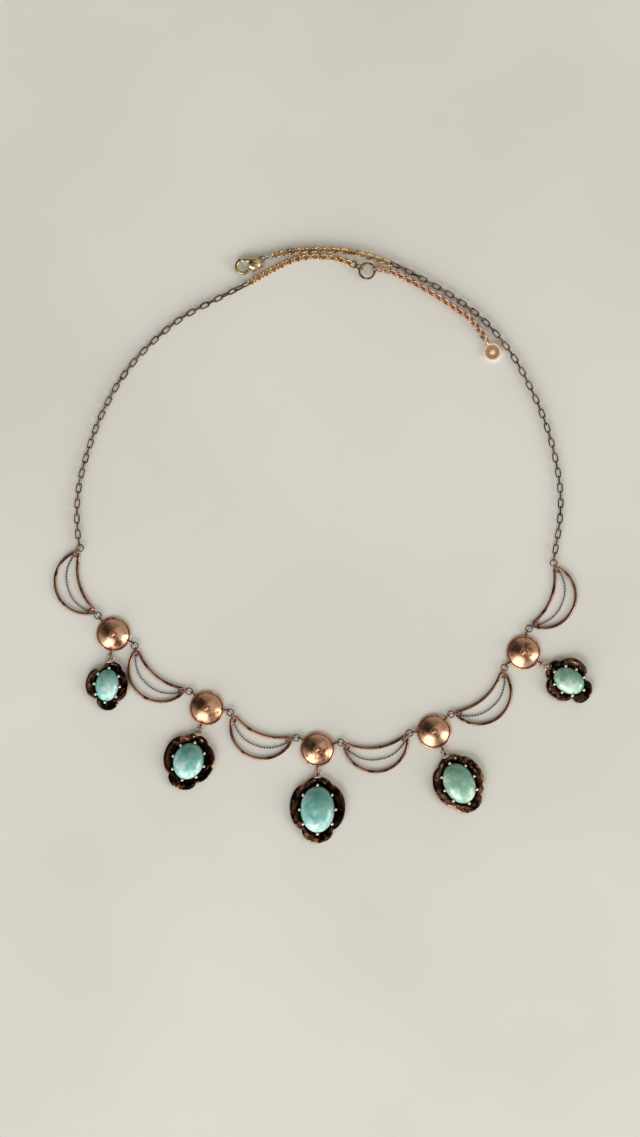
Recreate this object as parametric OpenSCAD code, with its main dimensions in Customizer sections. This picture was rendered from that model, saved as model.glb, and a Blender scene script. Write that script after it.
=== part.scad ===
// Festoon necklace in rose gold with five turquoise drops, lying open on a flat surface.
// Five domed discs carry the drops, six crescent frames join the discs, and a trace chain
// runs up each side to a belcher chain. The left run ends in rings and an extender with a
// small tag, the right run in a lobster clasp. The two ends lie crossed, unfastened.
// Millimetres. X to the right and Y towards the clasp as it lies, Z up from the surface.

/* [Discs] */
// Diameter of a domed disc
disc_d = 9.7; // [9.4:0.1:10]
// Height of its dome
disc_h = 2.6; // [2.4:0.1:2.8]
// Wall of the stamped dome
disc_wall = 0.55; // [0.45:0.05:0.65]
// Width of the flat brim round it
brim = 0.3; // [0.2:0.05:0.4]
// Diameter of the dimple in its middle
dimple_d = 1.9; // [1.6:0.1:2.2]
// Depth of that dimple
dimple_depth = 0.3; // [0.2:0.05:0.35]
// Diameter of the ball in the dimple
ball_d = 1.1; // [0.9:0.1:1.3]

/* [Drops] */
// Wall round each stone
collet_wall = 0.35; // [0.3:0.05:0.4]
// Height of that wall above the surface
collet_h = 1.5; // [1.4:0.05:1.6]
// Height of the ledge that the stone sits on
ledge_h = 1.0; // [0.9:0.05:1.1]
// Height of a petal's rim
petal_rim_h = 1.45; // [1.3:0.05:1.6]
// Claws round a stone
claw_count = 8; // [6:2:10]
// Thickness of a claw
claw_d = 0.55; // [0.5:0.05:0.6]
// Diameter of a claw's rounded tip
claw_tip_d = 0.8; // [0.7:0.05:0.85]

/* [Stones] */
// Height of the straight girdle of a stone
girdle_h = 0.3; // [0.2:0.05:0.4]
// Rise of a stone's dome, as a share of its width
dome_rise = 0.34; // [0.3:0.01:0.38]

/* [Crescents] */
// Wire of a crescent frame
frame_wire = 0.8; // [0.7:0.05:0.85]
// Distance between the two jump rings of a frame
frame_span = 19.3; // [19:0.1:19.6]
// Depth of the outer wire below the line between those rings
outer_depth = 9.7; // [9.2:0.1:10]
// Depth of the inner wire below that line
inner_depth = 2.95; // [2.7:0.05:3.2]
// Thickness of the fine chain inside
swag_d = 0.6; // [0.5:0.05:0.7]
// Depth of the fine chain
swag_depth = 6.3; // [5.8:0.1:6.8]

/* [Chains] */
// Outer length of a trace link
trace_length = 3.04; // [2.9:0.02:3.1]
// Outer width of a trace link
trace_width = 1.62; // [1.6:0.02:1.8]
// Wire of a trace link
trace_wire = 0.38; // [0.34:0.01:0.38]
// Outer diameter of a belcher link
belcher_d = 2.2; // [2.1:0.05:2.3]
// Wire of a belcher link
belcher_wire = 0.43; // [0.38:0.01:0.45]
// Clearance between a link and the next
link_gap = 0.13; // [0.12:0.01:0.14]

/* [Rings] */
// Outer diameter of the jump rings at the crescents
frame_ring_d = 2.22; // [2.15:0.01:2.25]
// Outer diameter of the jump rings above the drops
drop_ring_d = 1.94; // [1.9:0.01:2]
// Wire of all these jump rings
jump_wire = 0.34; // [0.3:0.01:0.36]
// Outer diameter of the large ring at the end of the left run
middle_ring_d = 4.95; // [4.8:0.05:5.2]
// Wire of that ring
middle_wire = 0.65; // [0.55:0.05:0.65]

/* [Clasp] */
// Wire of the clasp's hook
hook_wire = 0.95; // [0.9:0.05:1]
// Radius of the hook's bend, to the middle of its wire
hook_r = 1.85; // [1.8:0.01:1.9]
// Radius of the lever's pin
pin_r = 0.3; // [0.28:0.01:0.32]
// Running clearance between the pin and the lever, on the radius
pin_gap = 0.05; // [0.03:0.01:0.08]

/* [Hidden] */

// Colours as they show under soft light
rose_gold = [0.72, 0.45, 0.34];
bronze = [0.33, 0.2, 0.14];
copper = [0.27, 0.17, 0.13];
yellow_gold = [0.78, 0.6, 0.33];
pale_metal = [0.72, 0.7, 0.68];
turquoise = [0.4, 0.66, 0.6];

// Smoothness of wires, of their bends and of larger round shapes
wire_fn = 16;
bend_fn = 32;
round_fn = 48;

// The lying necklace is centred on the origin by this shift
centre = [-0.2, 0.4];

// Discs as they lie: x, y, then the headings of the left, right and drop eye
DISC_X = 0;
DISC_Y = 1;
LEFT_EYE = 2;
RIGHT_EYE = 3;
DROP_EYE = 4;
DISCS = [
    [-58.8, -24.6, 131, -24, -97],
    [-32.7, -45.3, 133, -6, -109],
    [-1.7, -56.8, 148, 19, -90],
    [30.9, -51.8, 182, 48, -64],
    [56.0, -29.7, 215, 81, -32]
];

// Drops: stone width, stone length, width over the petals, length over the petals
STONE_W = 0;
STONE_L = 1;
PETAL_W = 2;
PETAL_L = 3;
DROPS = [
    [6.5, 9.0, 12.2, 14.2],
    [8.4, 10.4, 14.4, 16.6],
    [9.5, 13.0, 15.6, 19.0],
    [8.5, 11.8, 14.4, 17.6],
    [6.9, 9.0, 12.8, 14.8]
];

// Oval petals: middle and half size across and along, as shares of the drop's half size
round_petals = [
    [[0.46, 0.06], [0.54, 0.68]],
    [[-0.46, 0.06], [0.54, 0.68]],
    [[0.03, 0.62], [0.54, 0.34]],
    [[0, -0.65], [0.56, 0.35]]
];
open_petals = [
    [[0.46, 0.04], [0.54, 0.64]],
    [[-0.52, 0], [0.48, 0.6]],
    [[0.15, 0.6], [0.46, 0.36]],
    [[0.1, -0.62], [0.5, 0.38]]
];
narrow_petals = [
    [[0.5, 0.08], [0.5, 0.56]],
    [[-0.48, 0.12], [0.52, 0.58]],
    [[0.05, 0.62], [0.5, 0.36]],
    [[-0.1, -0.64], [0.54, 0.36]]
];
PETALS = [open_petals, round_petals, round_petals, round_petals, narrow_petals];

// Points beyond the outermost frames, where the trace chains pull
left_anchor = [-68.4, 0.6];
right_anchor = [64.9, -3.4];

// Routes of the chains, each from its ring or the one before it
left_route_stations = [
    [-68.7, 3], [-69, 10], [-68.2, 18], [-65.8, 27], [-62, 37], [-56.5, 47],
    [-49.5, 55.5], [-40.5, 63.3], [-31, 68.6], [-21.5, 73.4], [-13.4, 77.9], [-7, 80.6],
    [0, 81], [6, 79.8], [12.3, 77], [15, 75.9]
];
right_route_stations = [
    [64.9, -1], [66.1, 7], [66.3, 15], [65, 24], [62.3, 34], [58, 44.2], [52.4, 54.2],
    [45.1, 63], [37.2, 69.2], [29.4, 73.9], [21, 78.2], [13.5, 80.9], [6, 82.6],
    [-3, 83], [-10, 82.4], [-15.5, 80.9], [-19, 79.8]
];
extender_stations = [
    [15.4, 77.7], [19.4, 76.7], [25, 73.9], [30.6, 70.7], [36.2, 67.1],
    [40.8, 63.8], [43.7, 60.4], [45.9, 56.8], [48.1, 52.8]
];

// Links in each run
left_trace_count = 44;
right_trace_count = 48;
left_belcher_count = 25;
right_belcher_count = 28;
extender_count = 31;

// Heights of the flat pieces
jump_z = 0.76;
flat_link_z = 0.8;
ring_z = 1.12;
clasp_z = 1.0;

// Soldered upright eyes: wire, radius to its middle, height and reach past the rim
eye_wire = 0.36;
eye_r = 0.55;
eye_z = eye_r + eye_wire / 2;
frame_eye_reach = 1.05;
drop_eye_reach = 0.75;
setting_eye_reach = 0.45;
neck_d = 0.5;
neck_in = 0.6;

// Plain helpers for points and headings
function polar(r, a) = [r * cos(a), r * sin(a)];
function heading(v) = atan2(v.y, v.x);
function turned(v, a) = [v.x * cos(a) - v.y * sin(a), v.x * sin(a) + v.y * cos(a)];
function torus_r(outer_d, wire) = (outer_d - wire) / 2;

// Distance between the middles of two threaded links
function threaded(r1, w1, r2, w2) = r1 + r2 - (w1 + w2) / 2 - link_gap;

// A smooth route through stations, as tables of x and y against running length
route_steps = 8;
function curve_point(a, b, c, d, t) =
    0.5 * (2 * b + (c - a) * t + (2 * a - 5 * b + 4 * c - d) * t ^ 2
    + (3 * b - a - 3 * c + d) * t ^ 3);
function fine_points(s) = [
    for (i = [0 : len(s) - 2])
        for (j = [0 : route_steps - 1])
            curve_point(s[max(i - 1, 0)], s[i], s[i + 1], s[min(i + 2, len(s) - 1)], j / route_steps),
    s[len(s) - 1]
];
function running_lengths(p) = [
    for (i = 0, s = 0; i < len(p); s = s + norm(p[min(i + 1, len(p) - 1)] - p[i]), i = i + 1) s
];
function route(stations) =
    let (p = fine_points(stations), s = running_lengths(p))
    [[for (i = [0 : len(p) - 1]) [s[i], p[i].x]], [for (i = [0 : len(p) - 1]) [s[i], p[i].y]]];
function route_at(way, s) = [lookup(s, way[0]), lookup(s, way[1])];
look_ahead = 0.5;
function route_heading(way, s) = heading(route_at(way, s + look_ahead) - route_at(way, s - look_ahead));

// Eyes of the discs, and the drops that hang from them
function disc_at(i) = [DISCS[i][DISC_X], DISCS[i][DISC_Y]];
function disc_eye(i, side, reach) = disc_at(i) + polar(disc_d / 2 + reach, DISCS[i][side]);
drop_ring_r = torus_r(drop_ring_d, jump_wire);
function drop_ring_at(i) = disc_eye(i, DROP_EYE, drop_eye_reach) + polar(drop_ring_r, DISCS[i][DROP_EYE]);
function drop_at(i) =
    drop_ring_at(i)
    + polar(drop_ring_r + setting_eye_reach + petal_r(i, 90), DISCS[i][DROP_EYE]);

// Crescent frames lie between two anchors: the eyes of their discs or the ends of the chains
function left_end(i) = i == 0 ? left_anchor : disc_eye(i - 1, RIGHT_EYE, frame_eye_reach);
function right_end(i) = i == 5 ? right_anchor : disc_eye(i, LEFT_EYE, frame_eye_reach);
function frame_heading(i) = heading(right_end(i) - left_end(i));
function frame_at(i) = (left_end(i) + right_end(i)) / 2;

// Each tip of a frame has an upright eye, and behind it a flat ring that holds the fine chain
tip_angle = 52;
tip_eye_in = 0.97;
swag_ring_r = 0.72;
swag_ring_wire = 0.45;
swag_ring_in = 2.2;
function tip_point(side, along) = [side * (frame_span / 2 - along * cos(tip_angle)), -along * sin(tip_angle)];
function on_frame(i, p) = frame_at(i) + turned(p, frame_heading(i));

// A jump ring threads two eyes, so its centre is one ring radius from both
frame_ring_r = torus_r(frame_ring_d, jump_wire);
slack = 0.01;
function ring_between(a, b, r) =
    let (half = norm(b - a) / 2, reach = max(r, half + slack), rise = sqrt(reach ^ 2 - half ^ 2))
    (a + b) / 2 + polar(rise, heading(b - a) + 90);
function frame_ring_at(i) =
    i == 0 ? on_frame(0, tip_point(-1, 0))
    : i == 11 ? on_frame(5, tip_point(1, 0))
    : i % 2 == 1 ? ring_between(on_frame(floor(i / 2), tip_point(1, tip_eye_in)),
        disc_eye(floor(i / 2), LEFT_EYE, frame_eye_reach), frame_ring_r)
    : ring_between(disc_eye(i / 2 - 1, RIGHT_EYE, frame_eye_reach),
        on_frame(i / 2, tip_point(-1, tip_eye_in)), frame_ring_r);

// Shape of the frame's two arcs, from their ends at the swag rings and their depths
outer_end = tip_point(-1, swag_ring_in) + polar(swag_ring_r, 180 + 90 - tip_angle);
outer_r = (outer_end.x ^ 2 + (outer_depth + outer_end.y) ^ 2) / (2 * (outer_depth + outer_end.y));
outer_cy = outer_r - outer_depth;
inner_end_in = [1.75, 0.86];
inner_end = [inner_end_in.x - frame_span / 2, -inner_end_in.y];
inner_r = (inner_end.x ^ 2 + (inner_depth + inner_end.y) ^ 2) / (2 * (inner_depth + inner_end.y));
inner_cy = inner_r - inner_depth;

// Running lengths of the pieces along the left run
trace_r = (trace_length - trace_wire) / 2;
trace_pitch = threaded(trace_r, trace_wire, trace_r, trace_wire);
belcher_r = torus_r(belcher_d, belcher_wire);
belcher_pitch = threaded(belcher_r, belcher_wire, belcher_r, belcher_wire);
small_ring_1_r = 1.08;
small_ring_2_r = 1.15;
small_ring_wire = 0.4;
middle_ring_r = torus_r(middle_ring_d, middle_wire);
first_trace = threaded(frame_ring_r, jump_wire, trace_r, trace_wire);
trace_to_belcher = threaded(trace_r, trace_wire, belcher_r, belcher_wire);
left_way = route(concat([frame_ring_at(0)], left_route_stations));
left_belcher_start = first_trace + (left_trace_count - 1) * trace_pitch + trace_to_belcher;
small_ring_1_s = left_belcher_start + (left_belcher_count - 1) * belcher_pitch
    + threaded(belcher_r, belcher_wire, small_ring_1_r, small_ring_wire);
small_ring_2_s = small_ring_1_s + threaded(small_ring_1_r, small_ring_wire, small_ring_2_r, small_ring_wire);
middle_ring_s = small_ring_2_s + threaded(small_ring_2_r, small_ring_wire, middle_ring_r, middle_wire);
middle_ring_at = route_at(left_way, middle_ring_s);

// The right run, which ends in the clasp
clasp_ring_r = 1.0;
clasp_ring_wire = 0.36;
tail_hole_r = 0.52;
tail_r = 1.0;
right_way = route(concat([frame_ring_at(11)], right_route_stations));
right_belcher_start = first_trace + (right_trace_count - 1) * trace_pitch + trace_to_belcher;
clasp_ring_2_s = right_belcher_start + (right_belcher_count - 1) * belcher_pitch
    + threaded(belcher_r, belcher_wire, clasp_ring_r, clasp_ring_wire);
clasp_ring_1_s = clasp_ring_2_s + threaded(clasp_ring_r, clasp_ring_wire, clasp_ring_r, clasp_ring_wire);
tail_at = route_at(right_way, clasp_ring_1_s + clasp_ring_r);
clasp_heading = 199;

// The extender, which starts in the middle ring and ends in the tag
extender_way = route(concat([middle_ring_at], extender_stations));
snug = 0.06;
extender_start = threaded(middle_ring_r, middle_wire, belcher_r, belcher_wire) + snug;
tag_ring_r = 0.9;
tag_ring_s = extender_start + (extender_count - 1) * belcher_pitch
    + threaded(belcher_r, belcher_wire, tag_ring_r, jump_wire);
tag_r = 2.4;
tag_eye_r = 0.65;
tag_eye_reach = 0.55;
tag_s = tag_ring_s + tag_ring_r + tag_eye_reach + tag_r;
tag_at = route_at(extender_way, tag_s);
tag_heading = heading(route_at(extender_way, tag_ring_s) - tag_at);

// Basic shapes
module wire_ring(r, wire) {
    rotate_extrude($fn = round_fn)
        translate([r, 0]) circle(d = wire, $fn = wire_fn);
}

module wire_arc(r, wire, from, sweep) {
    rotate([0, 0, from])
        rotate_extrude(angle = sweep, $fn = 2 * round_fn)
            translate([r, 0]) circle(d = wire, $fn = wire_fn);
}

module rod(length, d) {
    rotate([0, 90, 0]) cylinder(d = d, h = length, $fn = wire_fn);
}

// A ring standing upright in the plane of its heading
module upright_ring(r, wire, z, a) {
    translate([0, 0, z])
        rotate([0, 0, a]) rotate([90, 0, 0]) wire_ring(r, wire);
}

// An eye on a short neck, from a rim at radius rim_r, along the heading a. It faces its ring.
module soldered_eye(rim_r, reach, a, facing, neck_z) {
    translate(polar(rim_r + reach, a)) upright_ring(eye_r, eye_wire, eye_z, facing);
    rotate([0, 0, a])
        translate([rim_r - neck_in, 0, neck_z]) rod(neck_in + reach - eye_r + eye_wire / 4, neck_d);
}

// Discs: a stamped dome, open underneath, with a ball in its dimple
brim_h = 0.45;
module dome(wall_in) {
    foot_r = disc_d / 2 - brim;
    dome_r = (foot_r ^ 2 + disc_h ^ 2) / (2 * disc_h);
    intersection() {
        translate([0, 0, disc_h - dome_r]) sphere(r = dome_r - wall_in, $fn = 2 * round_fn);
        cylinder(d = 2 * disc_d, h = disc_h + 1, $fn = round_fn);
    }
}

module disc(i) {
    dimple_r = (dimple_d ^ 2 / 4 + dimple_depth ^ 2) / (2 * dimple_depth);
    color(rose_gold) translate(disc_at(i)) {
        difference() {
            union() {
                dome(0);
                cylinder(d = disc_d, h = brim_h, $fn = 2 * round_fn);
            }
            dome(disc_wall);
            translate([0, 0, disc_h + dimple_r - dimple_depth]) sphere(r = dimple_r, $fn = round_fn);
        }
        translate([0, 0, disc_h]) sphere(d = ball_d, $fn = wire_fn * 2);
        soldered_eye(disc_d / 2, frame_eye_reach, DISCS[i][LEFT_EYE],
            heading(frame_ring_at(2 * i + 1) - disc_eye(i, LEFT_EYE, frame_eye_reach)), brim_h);
        soldered_eye(disc_d / 2, frame_eye_reach, DISCS[i][RIGHT_EYE],
            heading(frame_ring_at(2 * i + 2) - disc_eye(i, RIGHT_EYE, frame_eye_reach)), brim_h);
        soldered_eye(disc_d / 2, drop_eye_reach, DISCS[i][DROP_EYE], DISCS[i][DROP_EYE], brim_h);
    }
}

// Stones: an oval cabochon with a low girdle, its length along the drop
seat_gap = 0.06;
module stone(i) {
    w = DROPS[i][STONE_W];
    l = DROPS[i][STONE_L];
    color(turquoise) place_drop(i) translate([0, 0, ledge_h + seat_gap]) scale([w, l, w]) {
        cylinder(d = 1, h = girdle_h / w, $fn = round_fn);
        intersection() {
            translate([0, 0, girdle_h / w]) scale([1, 1, 2 * dome_rise]) sphere(d = 1, $fn = round_fn);
            cylinder(d = 2, h = 1, $fn = round_fn);
        }
    }
}

module place_drop(i) {
    translate(drop_at(i)) rotate([0, 0, DISCS[i][DROP_EYE] + 90]) children();
}

// Settings: four dished petals round a collet. Each heading has a closed section.
petal_facets = 72;
// How far a ray from the middle runs before it leaves an oval petal
function ray_to_oval(c, h, a) =
    let (
        d = [cos(a) / h.x, sin(a) / h.y],
        m = [c.x / h.x, c.y / h.y],
        dd = d * d,
        dm = d * m,
        inside = dm ^ 2 - dd * (m * m - 1)
    )
    inside < 0 ? 0 : (dm + sqrt(inside)) / dd;
function oval_r(w, l, a) = 0.5 / norm([cos(a) / w, sin(a) / l]);
function petal_r(i, a) =
    let (half = [DROPS[i][PETAL_W], DROPS[i][PETAL_L]] / 2)
    max([
        for (p = PETALS[i])
            ray_to_oval([p[0].x * half.x, p[0].y * half.y], [p[1].x * half.x, p[1].y * half.y], a)
    ]);
// One section, as points of radius and height, from the foot's inner edge outwards
ledge_width = 0.55;
shortest_petal = 0.25;
function petal_section(i, a) =
    let (
        stone_r = oval_r(DROPS[i][STONE_W], DROPS[i][STONE_L], a),
        inner = stone_r - ledge_width,
        seat = stone_r + seat_gap,
        wall = seat + collet_wall,
        reach = max(petal_r(i, a) - wall, shortest_petal),
        full = (DROPS[i][PETAL_L] - DROPS[i][STONE_L]) / 2,
        rim = petal_rim_h - 0.45 * (1 - min(1, reach / full))
    )
    [
        [inner, 0],
        [wall + 0.1 * reach, 0],
        [wall + 0.55 * reach, 0.3],
        [wall + 0.96 * reach, rim - 0.55],
        [wall + reach, rim - 0.22],
        [wall + 0.93 * reach, rim],
        [wall + 0.8 * reach, rim - 0.2],
        [wall + 0.45 * reach, 0.78],
        [wall + 0.12 * reach, 0.85],
        [wall, collet_h],
        [seat, collet_h],
        [seat, ledge_h],
        [inner, ledge_h]
    ];
module petals(i) {
    sections = [for (k = [0 : petal_facets - 1]) petal_section(i, k * 360 / petal_facets)];
    corners = len(sections[0]);
    points = [
        for (k = [0 : petal_facets - 1])
            for (p = sections[k])
                [p.x * cos(k * 360 / petal_facets), p.x * sin(k * 360 / petal_facets), p.y]
    ];
    faces = [
        for (k = [0 : petal_facets - 1])
            for (j = [0 : corners - 1])
                let (
                    here = k * corners,
                    next = ((k + 1) % petal_facets) * corners,
                    up = (j + 1) % corners
                )
                each [
                    [here + j, here + up, next + up],
                    [here + j, next + up, next + j]
                ]
    ];
    polyhedron(points, faces);
}

claw_tip_in = 0.06;
module claw(r, a, top) {
    rotate([0, 0, a]) {
        translate([r + claw_d / 2, 0, ledge_h]) cylinder(d = claw_d, h = top - ledge_h, $fn = wire_fn);
        translate([r + claw_d / 2 - claw_tip_in, 0, top]) sphere(d = claw_tip_d, $fn = wire_fn);
    }
}

claw_gap = 0.1;
claw_rise = 1.35;
module setting(i) {
    drop = DROPS[i];
    color(bronze) place_drop(i) {
        petals(i);
        for (k = [0 : claw_count - 1]) {
            a = k * 360 / claw_count;
            claw(oval_r(drop[STONE_W], drop[STONE_L], a) + claw_gap, a, ledge_h + claw_rise);
        }
        soldered_eye(petal_r(i, 90), setting_eye_reach, 90, 90, eye_z);
    }
}

// Crescent frames and the fine chain inside them
module festoon(i) {
    color(rose_gold) translate(frame_at(i)) rotate([0, 0, frame_heading(i)]) {
        outer_from = 180 + atan2(-(outer_end.y - outer_cy), -outer_end.x);
        translate([0, outer_cy, frame_wire / 2])
            wire_arc(outer_r, frame_wire, outer_from, 2 * (270 - outer_from));
        inner_from = 270 - asin(-inner_end.x / inner_r);
        translate([0, inner_cy, frame_wire / 2])
            wire_arc(inner_r, frame_wire, inner_from, 2 * (270 - inner_from));
        for (side = [-1, 1]) {
            translate(tip_point(side, swag_ring_in))
                translate([0, 0, frame_wire / 2]) wire_ring(swag_ring_r, swag_ring_wire);
            eye = tip_point(side, tip_eye_in);
            its_ring = frame_ring_at(side < 0 ? 2 * i : 2 * i + 1);
            translate(eye)
                upright_ring(eye_r, eye_wire, eye_z, heading(its_ring - on_frame(i, eye)) - frame_heading(i));
        }
    }
}

// Middle line of the fine chain: flat in the middle and steep towards its ends
swag_rings = 15;
swag_sides = 8;
swag_power = 2.4;
swag_end_in = 0.55;
swag_half = -tip_point(-1, swag_ring_in).x - swag_end_in;
swag_end_depth = 2.75;
function swag_line(t) = [
    swag_half * t,
    -swag_depth + (swag_depth - swag_end_depth) * abs(t) ^ swag_power,
    swag_d / 2
];
function swag_slope(t) = heading(swag_line(t + 0.01) - swag_line(t - 0.01));
module swag(i) {
    points = [
        for (k = [0 : swag_rings - 1])
            let (t = -1 + 2 * k / (swag_rings - 1), c = swag_line(t), a = swag_slope(t) + 90)
            for (j = [0 : swag_sides - 1])
                let (b = j * 360 / swag_sides)
                c + swag_d / 2 * [cos(a) * cos(b), sin(a) * cos(b), sin(b)]
    ];
    last = (swag_rings - 1) * swag_sides;
    faces = concat(
        [[for (j = [0 : swag_sides - 1]) swag_sides - 1 - j]],
        [[for (j = [0 : swag_sides - 1]) last + j]],
        [
            for (k = [0 : swag_rings - 2])
                for (j = [0 : swag_sides - 1])
                    let (here = k * swag_sides, up = (j + 1) % swag_sides)
                    [here + j, here + up, here + swag_sides + up, here + swag_sides + j]
        ]
    );
    color(rose_gold) translate(frame_at(i)) rotate([0, 0, frame_heading(i)])
        polyhedron(points, faces);
}

// Chain links
module trace_link() {
    straight = trace_length - trace_width;
    bend = (trace_width - trace_wire) / 2;
    for (side = [-1, 1]) {
        translate([side * straight / 2, 0, 0])
            wire_arc(bend, trace_wire, -90 * side, 180);
        translate([-straight / 2, side * bend, 0]) rod(straight, trace_wire);
    }
}

// Upright and flat trace links in turn, the flat ones held up by the upright ones. The last
// few turn little by little, so that the belcher links follow at half a right angle.
turning_links = 6;
function turn_share(k) = max(0, 1 - k / turning_links);
function trace_roll(k, count) = (k % 2 == 0 ? 90 : 0) - 45 * turn_share(count - 1 - k);
module trace_chain(way, count) {
    bend = (trace_width - trace_wire) / 2;
    for (k = [0 : count - 1]) {
        s = first_trace + k * trace_pitch;
        roll = trace_roll(k, count);
        rest_z = bend * abs(sin(roll)) + trace_wire / 2;
        translate(concat(route_at(way, s), max(flat_link_z, rest_z)))
            rotate([roll, 0, route_heading(way, s)]) trace_link();
    }
}

// Belcher links lean to either side in turn, after an upright first link where twist is 45
module belcher_chain(way, start, count, twist = 0) {
    for (k = [0 : count - 1]) {
        s = start + k * belcher_pitch;
        turn = twist * turn_share(k);
        translate(concat(route_at(way, s), belcher_r * sin(45 + turn) + belcher_wire / 2))
            rotate([(k % 2 == 0 ? 45 : -45) + turn, 0, route_heading(way, s)])
                wire_ring(belcher_r, belcher_wire);
    }
}

module flat_ring(at, r, wire, z) {
    translate(concat(at, z)) wire_ring(r, wire);
}

// A ring tilted about the way that the run goes
module tilted_ring(way, s, r, wire, roll) {
    translate(concat(route_at(way, s), max(flat_link_z, r * abs(sin(roll)) + wire / 2)))
        rotate([roll, 0, route_heading(way, s)]) wire_ring(r, wire);
}

// A round tag with a raised rim and a plain low boss
tag_h = 0.9;
tag_rim = 0.42;
tag_recess = 0.25;
boss_r = 2.1;
boss_h = 0.2;
module end_tag() {
    color(rose_gold) translate(tag_at) {
        difference() {
            cylinder(r = tag_r, h = tag_h, $fn = round_fn);
            translate([0, 0, tag_h - tag_recess]) cylinder(r = tag_r - tag_rim, h = 1, $fn = round_fn);
        }
        intersection() {
            translate([0, 0, tag_h - tag_recess + boss_h - boss_r]) sphere(r = boss_r, $fn = round_fn);
            cylinder(r = tag_r / 2, h = 2, $fn = round_fn);
        }
        translate(polar(tag_r + tag_eye_reach, tag_heading))
            upright_ring(tag_eye_r, eye_wire, tag_eye_r + eye_wire / 2, tag_heading);
    }
}

// Clasp, in its own frame: the tail's hole at the origin, the hook along X, the lever on +Y
hook_at = [5.7, 0.2];
hook_end = 105;
tail_h = 0.65;
end_swell = 0.04;
belly_at = [2.5, 0.45];
belly_size = [3.9, 3.4, 1.9];
neck_start = [0.8, 0.05];
neck_start_d = 1.0;
neck_end = [2.4, 0.4];
neck_end_d = 1.8;
arm_start = [2.2, -0.35];
arm_d = 1.5;
mouth = [5.2, 0.2];
pivot = [2.3, 1.2];
slot_h = 0.7;
slot_corner = [1.4, -0.1];
slot_size = [2.9, 4];

// Height of a cut that runs right through the clasp
through = 4;
module place_clasp() {
    translate(tail_at) rotate([0, 0, clasp_heading]) children();
}

module tapered_rod(a, b, d1, d2) {
    translate([a.x, a.y, clasp_z]) rotate([0, 90, heading(b - a)])
        cylinder(d1 = d1, d2 = d2, h = norm(b - a), $fn = round_fn);
}

module upright_cylinder(at, r, h) {
    translate([at.x, at.y, clasp_z - h / 2]) cylinder(r = r, h = h, $fn = round_fn);
}

module clasp_body() {
    hook_low = hook_at - [0, hook_r];
    color(yellow_gold) place_clasp() difference() {
        union() {
            upright_cylinder([0, 0], tail_r, tail_h);
            translate([belly_at.x, belly_at.y, clasp_z]) scale(belly_size) sphere(d = 1, $fn = round_fn);
            tapered_rod(neck_start, neck_end, neck_start_d, neck_end_d);
            tapered_rod(arm_start, hook_low, arm_d, hook_wire);
            translate([hook_low.x, hook_low.y, clasp_z]) sphere(d = hook_wire + end_swell, $fn = bend_fn);
            translate([hook_at.x, hook_at.y, clasp_z]) {
                wire_arc(hook_r, hook_wire, -90, 90 + hook_end);
                translate(polar(hook_r, hook_end)) sphere(d = hook_wire + end_swell, $fn = bend_fn);
            }
        }
        upright_cylinder([0, 0], tail_hole_r, through);
        upright_cylinder(mouth, hook_r - hook_wire / 2 - end_swell, through);
        translate([slot_corner.x, slot_corner.y, clasp_z - slot_h / 2]) cube([slot_size.x, slot_size.y, slot_h]);
        upright_cylinder(pivot, pin_r + press_gap, through);
    }
}

// The pin is pressed through the knuckle and the lever turns on it
press_gap = 0.01;
pin_h = 1.7;
module clasp_pin() {
    color(yellow_gold) place_clasp() upright_cylinder(pivot, pin_r, pin_h);
}

// The lever: a gate that closes the hook, and a thumb piece along the side
lever_h = 0.6;
hub_r = 0.62;
gate_end = [4.28, 1.93];
gate_w = 0.72;
thumb_from = [0.3, 2.2];
thumb_to = [3.4, 2.75];
thumb_w = 0.8;
web_w = 0.7;
web_end = [2.3, 2.6];
module plate_bar(a, b, w) {
    translate([a.x, a.y, clasp_z - lever_h / 2]) {
        rotate([0, 0, heading(b - a)]) translate([0, -w / 2, 0]) cube([norm(b - a), w, lever_h]);
        cylinder(r = w / 2 + end_swell, h = lever_h, $fn = bend_fn);
    }
    upright_cylinder(b, w / 2 + end_swell, lever_h);
}

module clasp_lever() {
    color(yellow_gold) place_clasp() difference() {
        union() {
            upright_cylinder(pivot, hub_r, lever_h);
            plate_bar(pivot, gate_end, gate_w);
            plate_bar(pivot, web_end, web_w);
            plate_bar(thumb_from, thumb_to, thumb_w);
        }
        upright_cylinder(pivot, pin_r + pin_gap, through);
    }
}

module laid() {
    translate([-centre.x, -centre.y, 0]) children();
}

module numbered(name, i) {
    laid() children();
}

for (i = [0 : 4]) {
    numbered("stone", i) stone(i);
    numbered("setting", i) setting(i);
    numbered("disc", i) disc(i);
    numbered("drop_ring", i) color(rose_gold) flat_ring(drop_ring_at(i), drop_ring_r, jump_wire, jump_z);
}
for (i = [0 : 5]) {
    numbered("festoon", i) festoon(i);
    numbered("swag", i) swag(i);
}
for (i = [0 : 11])
    numbered("frame_ring", i) color(copper) flat_ring(frame_ring_at(i), frame_ring_r, jump_wire, jump_z);

laid() color(copper) trace_chain(left_way, left_trace_count);  // trace_left
laid() color(copper) trace_chain(right_way, right_trace_count);  // trace_right
laid() color(yellow_gold) belcher_chain(left_way, left_belcher_start, left_belcher_count);  // belcher_left
laid() color(yellow_gold) belcher_chain(right_way, right_belcher_start, right_belcher_count);  // belcher_right
laid() color(rose_gold) belcher_chain(extender_way, extender_start, extender_count, 45);  // extender
laid() color(rose_gold) tilted_ring(left_way, small_ring_1_s, small_ring_1_r, small_ring_wire, -40);  // small_ring_1
laid() color(rose_gold) tilted_ring(left_way, small_ring_2_s, small_ring_2_r, small_ring_wire, 62);  // small_ring_2
laid() color(rose_gold) flat_ring(middle_ring_at, middle_ring_r, middle_wire, ring_z);  // middle_ring
laid() color(rose_gold) tilted_ring(extender_way, tag_ring_s, tag_ring_r, jump_wire, -45);  // tag_ring
laid() end_tag();
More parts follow.
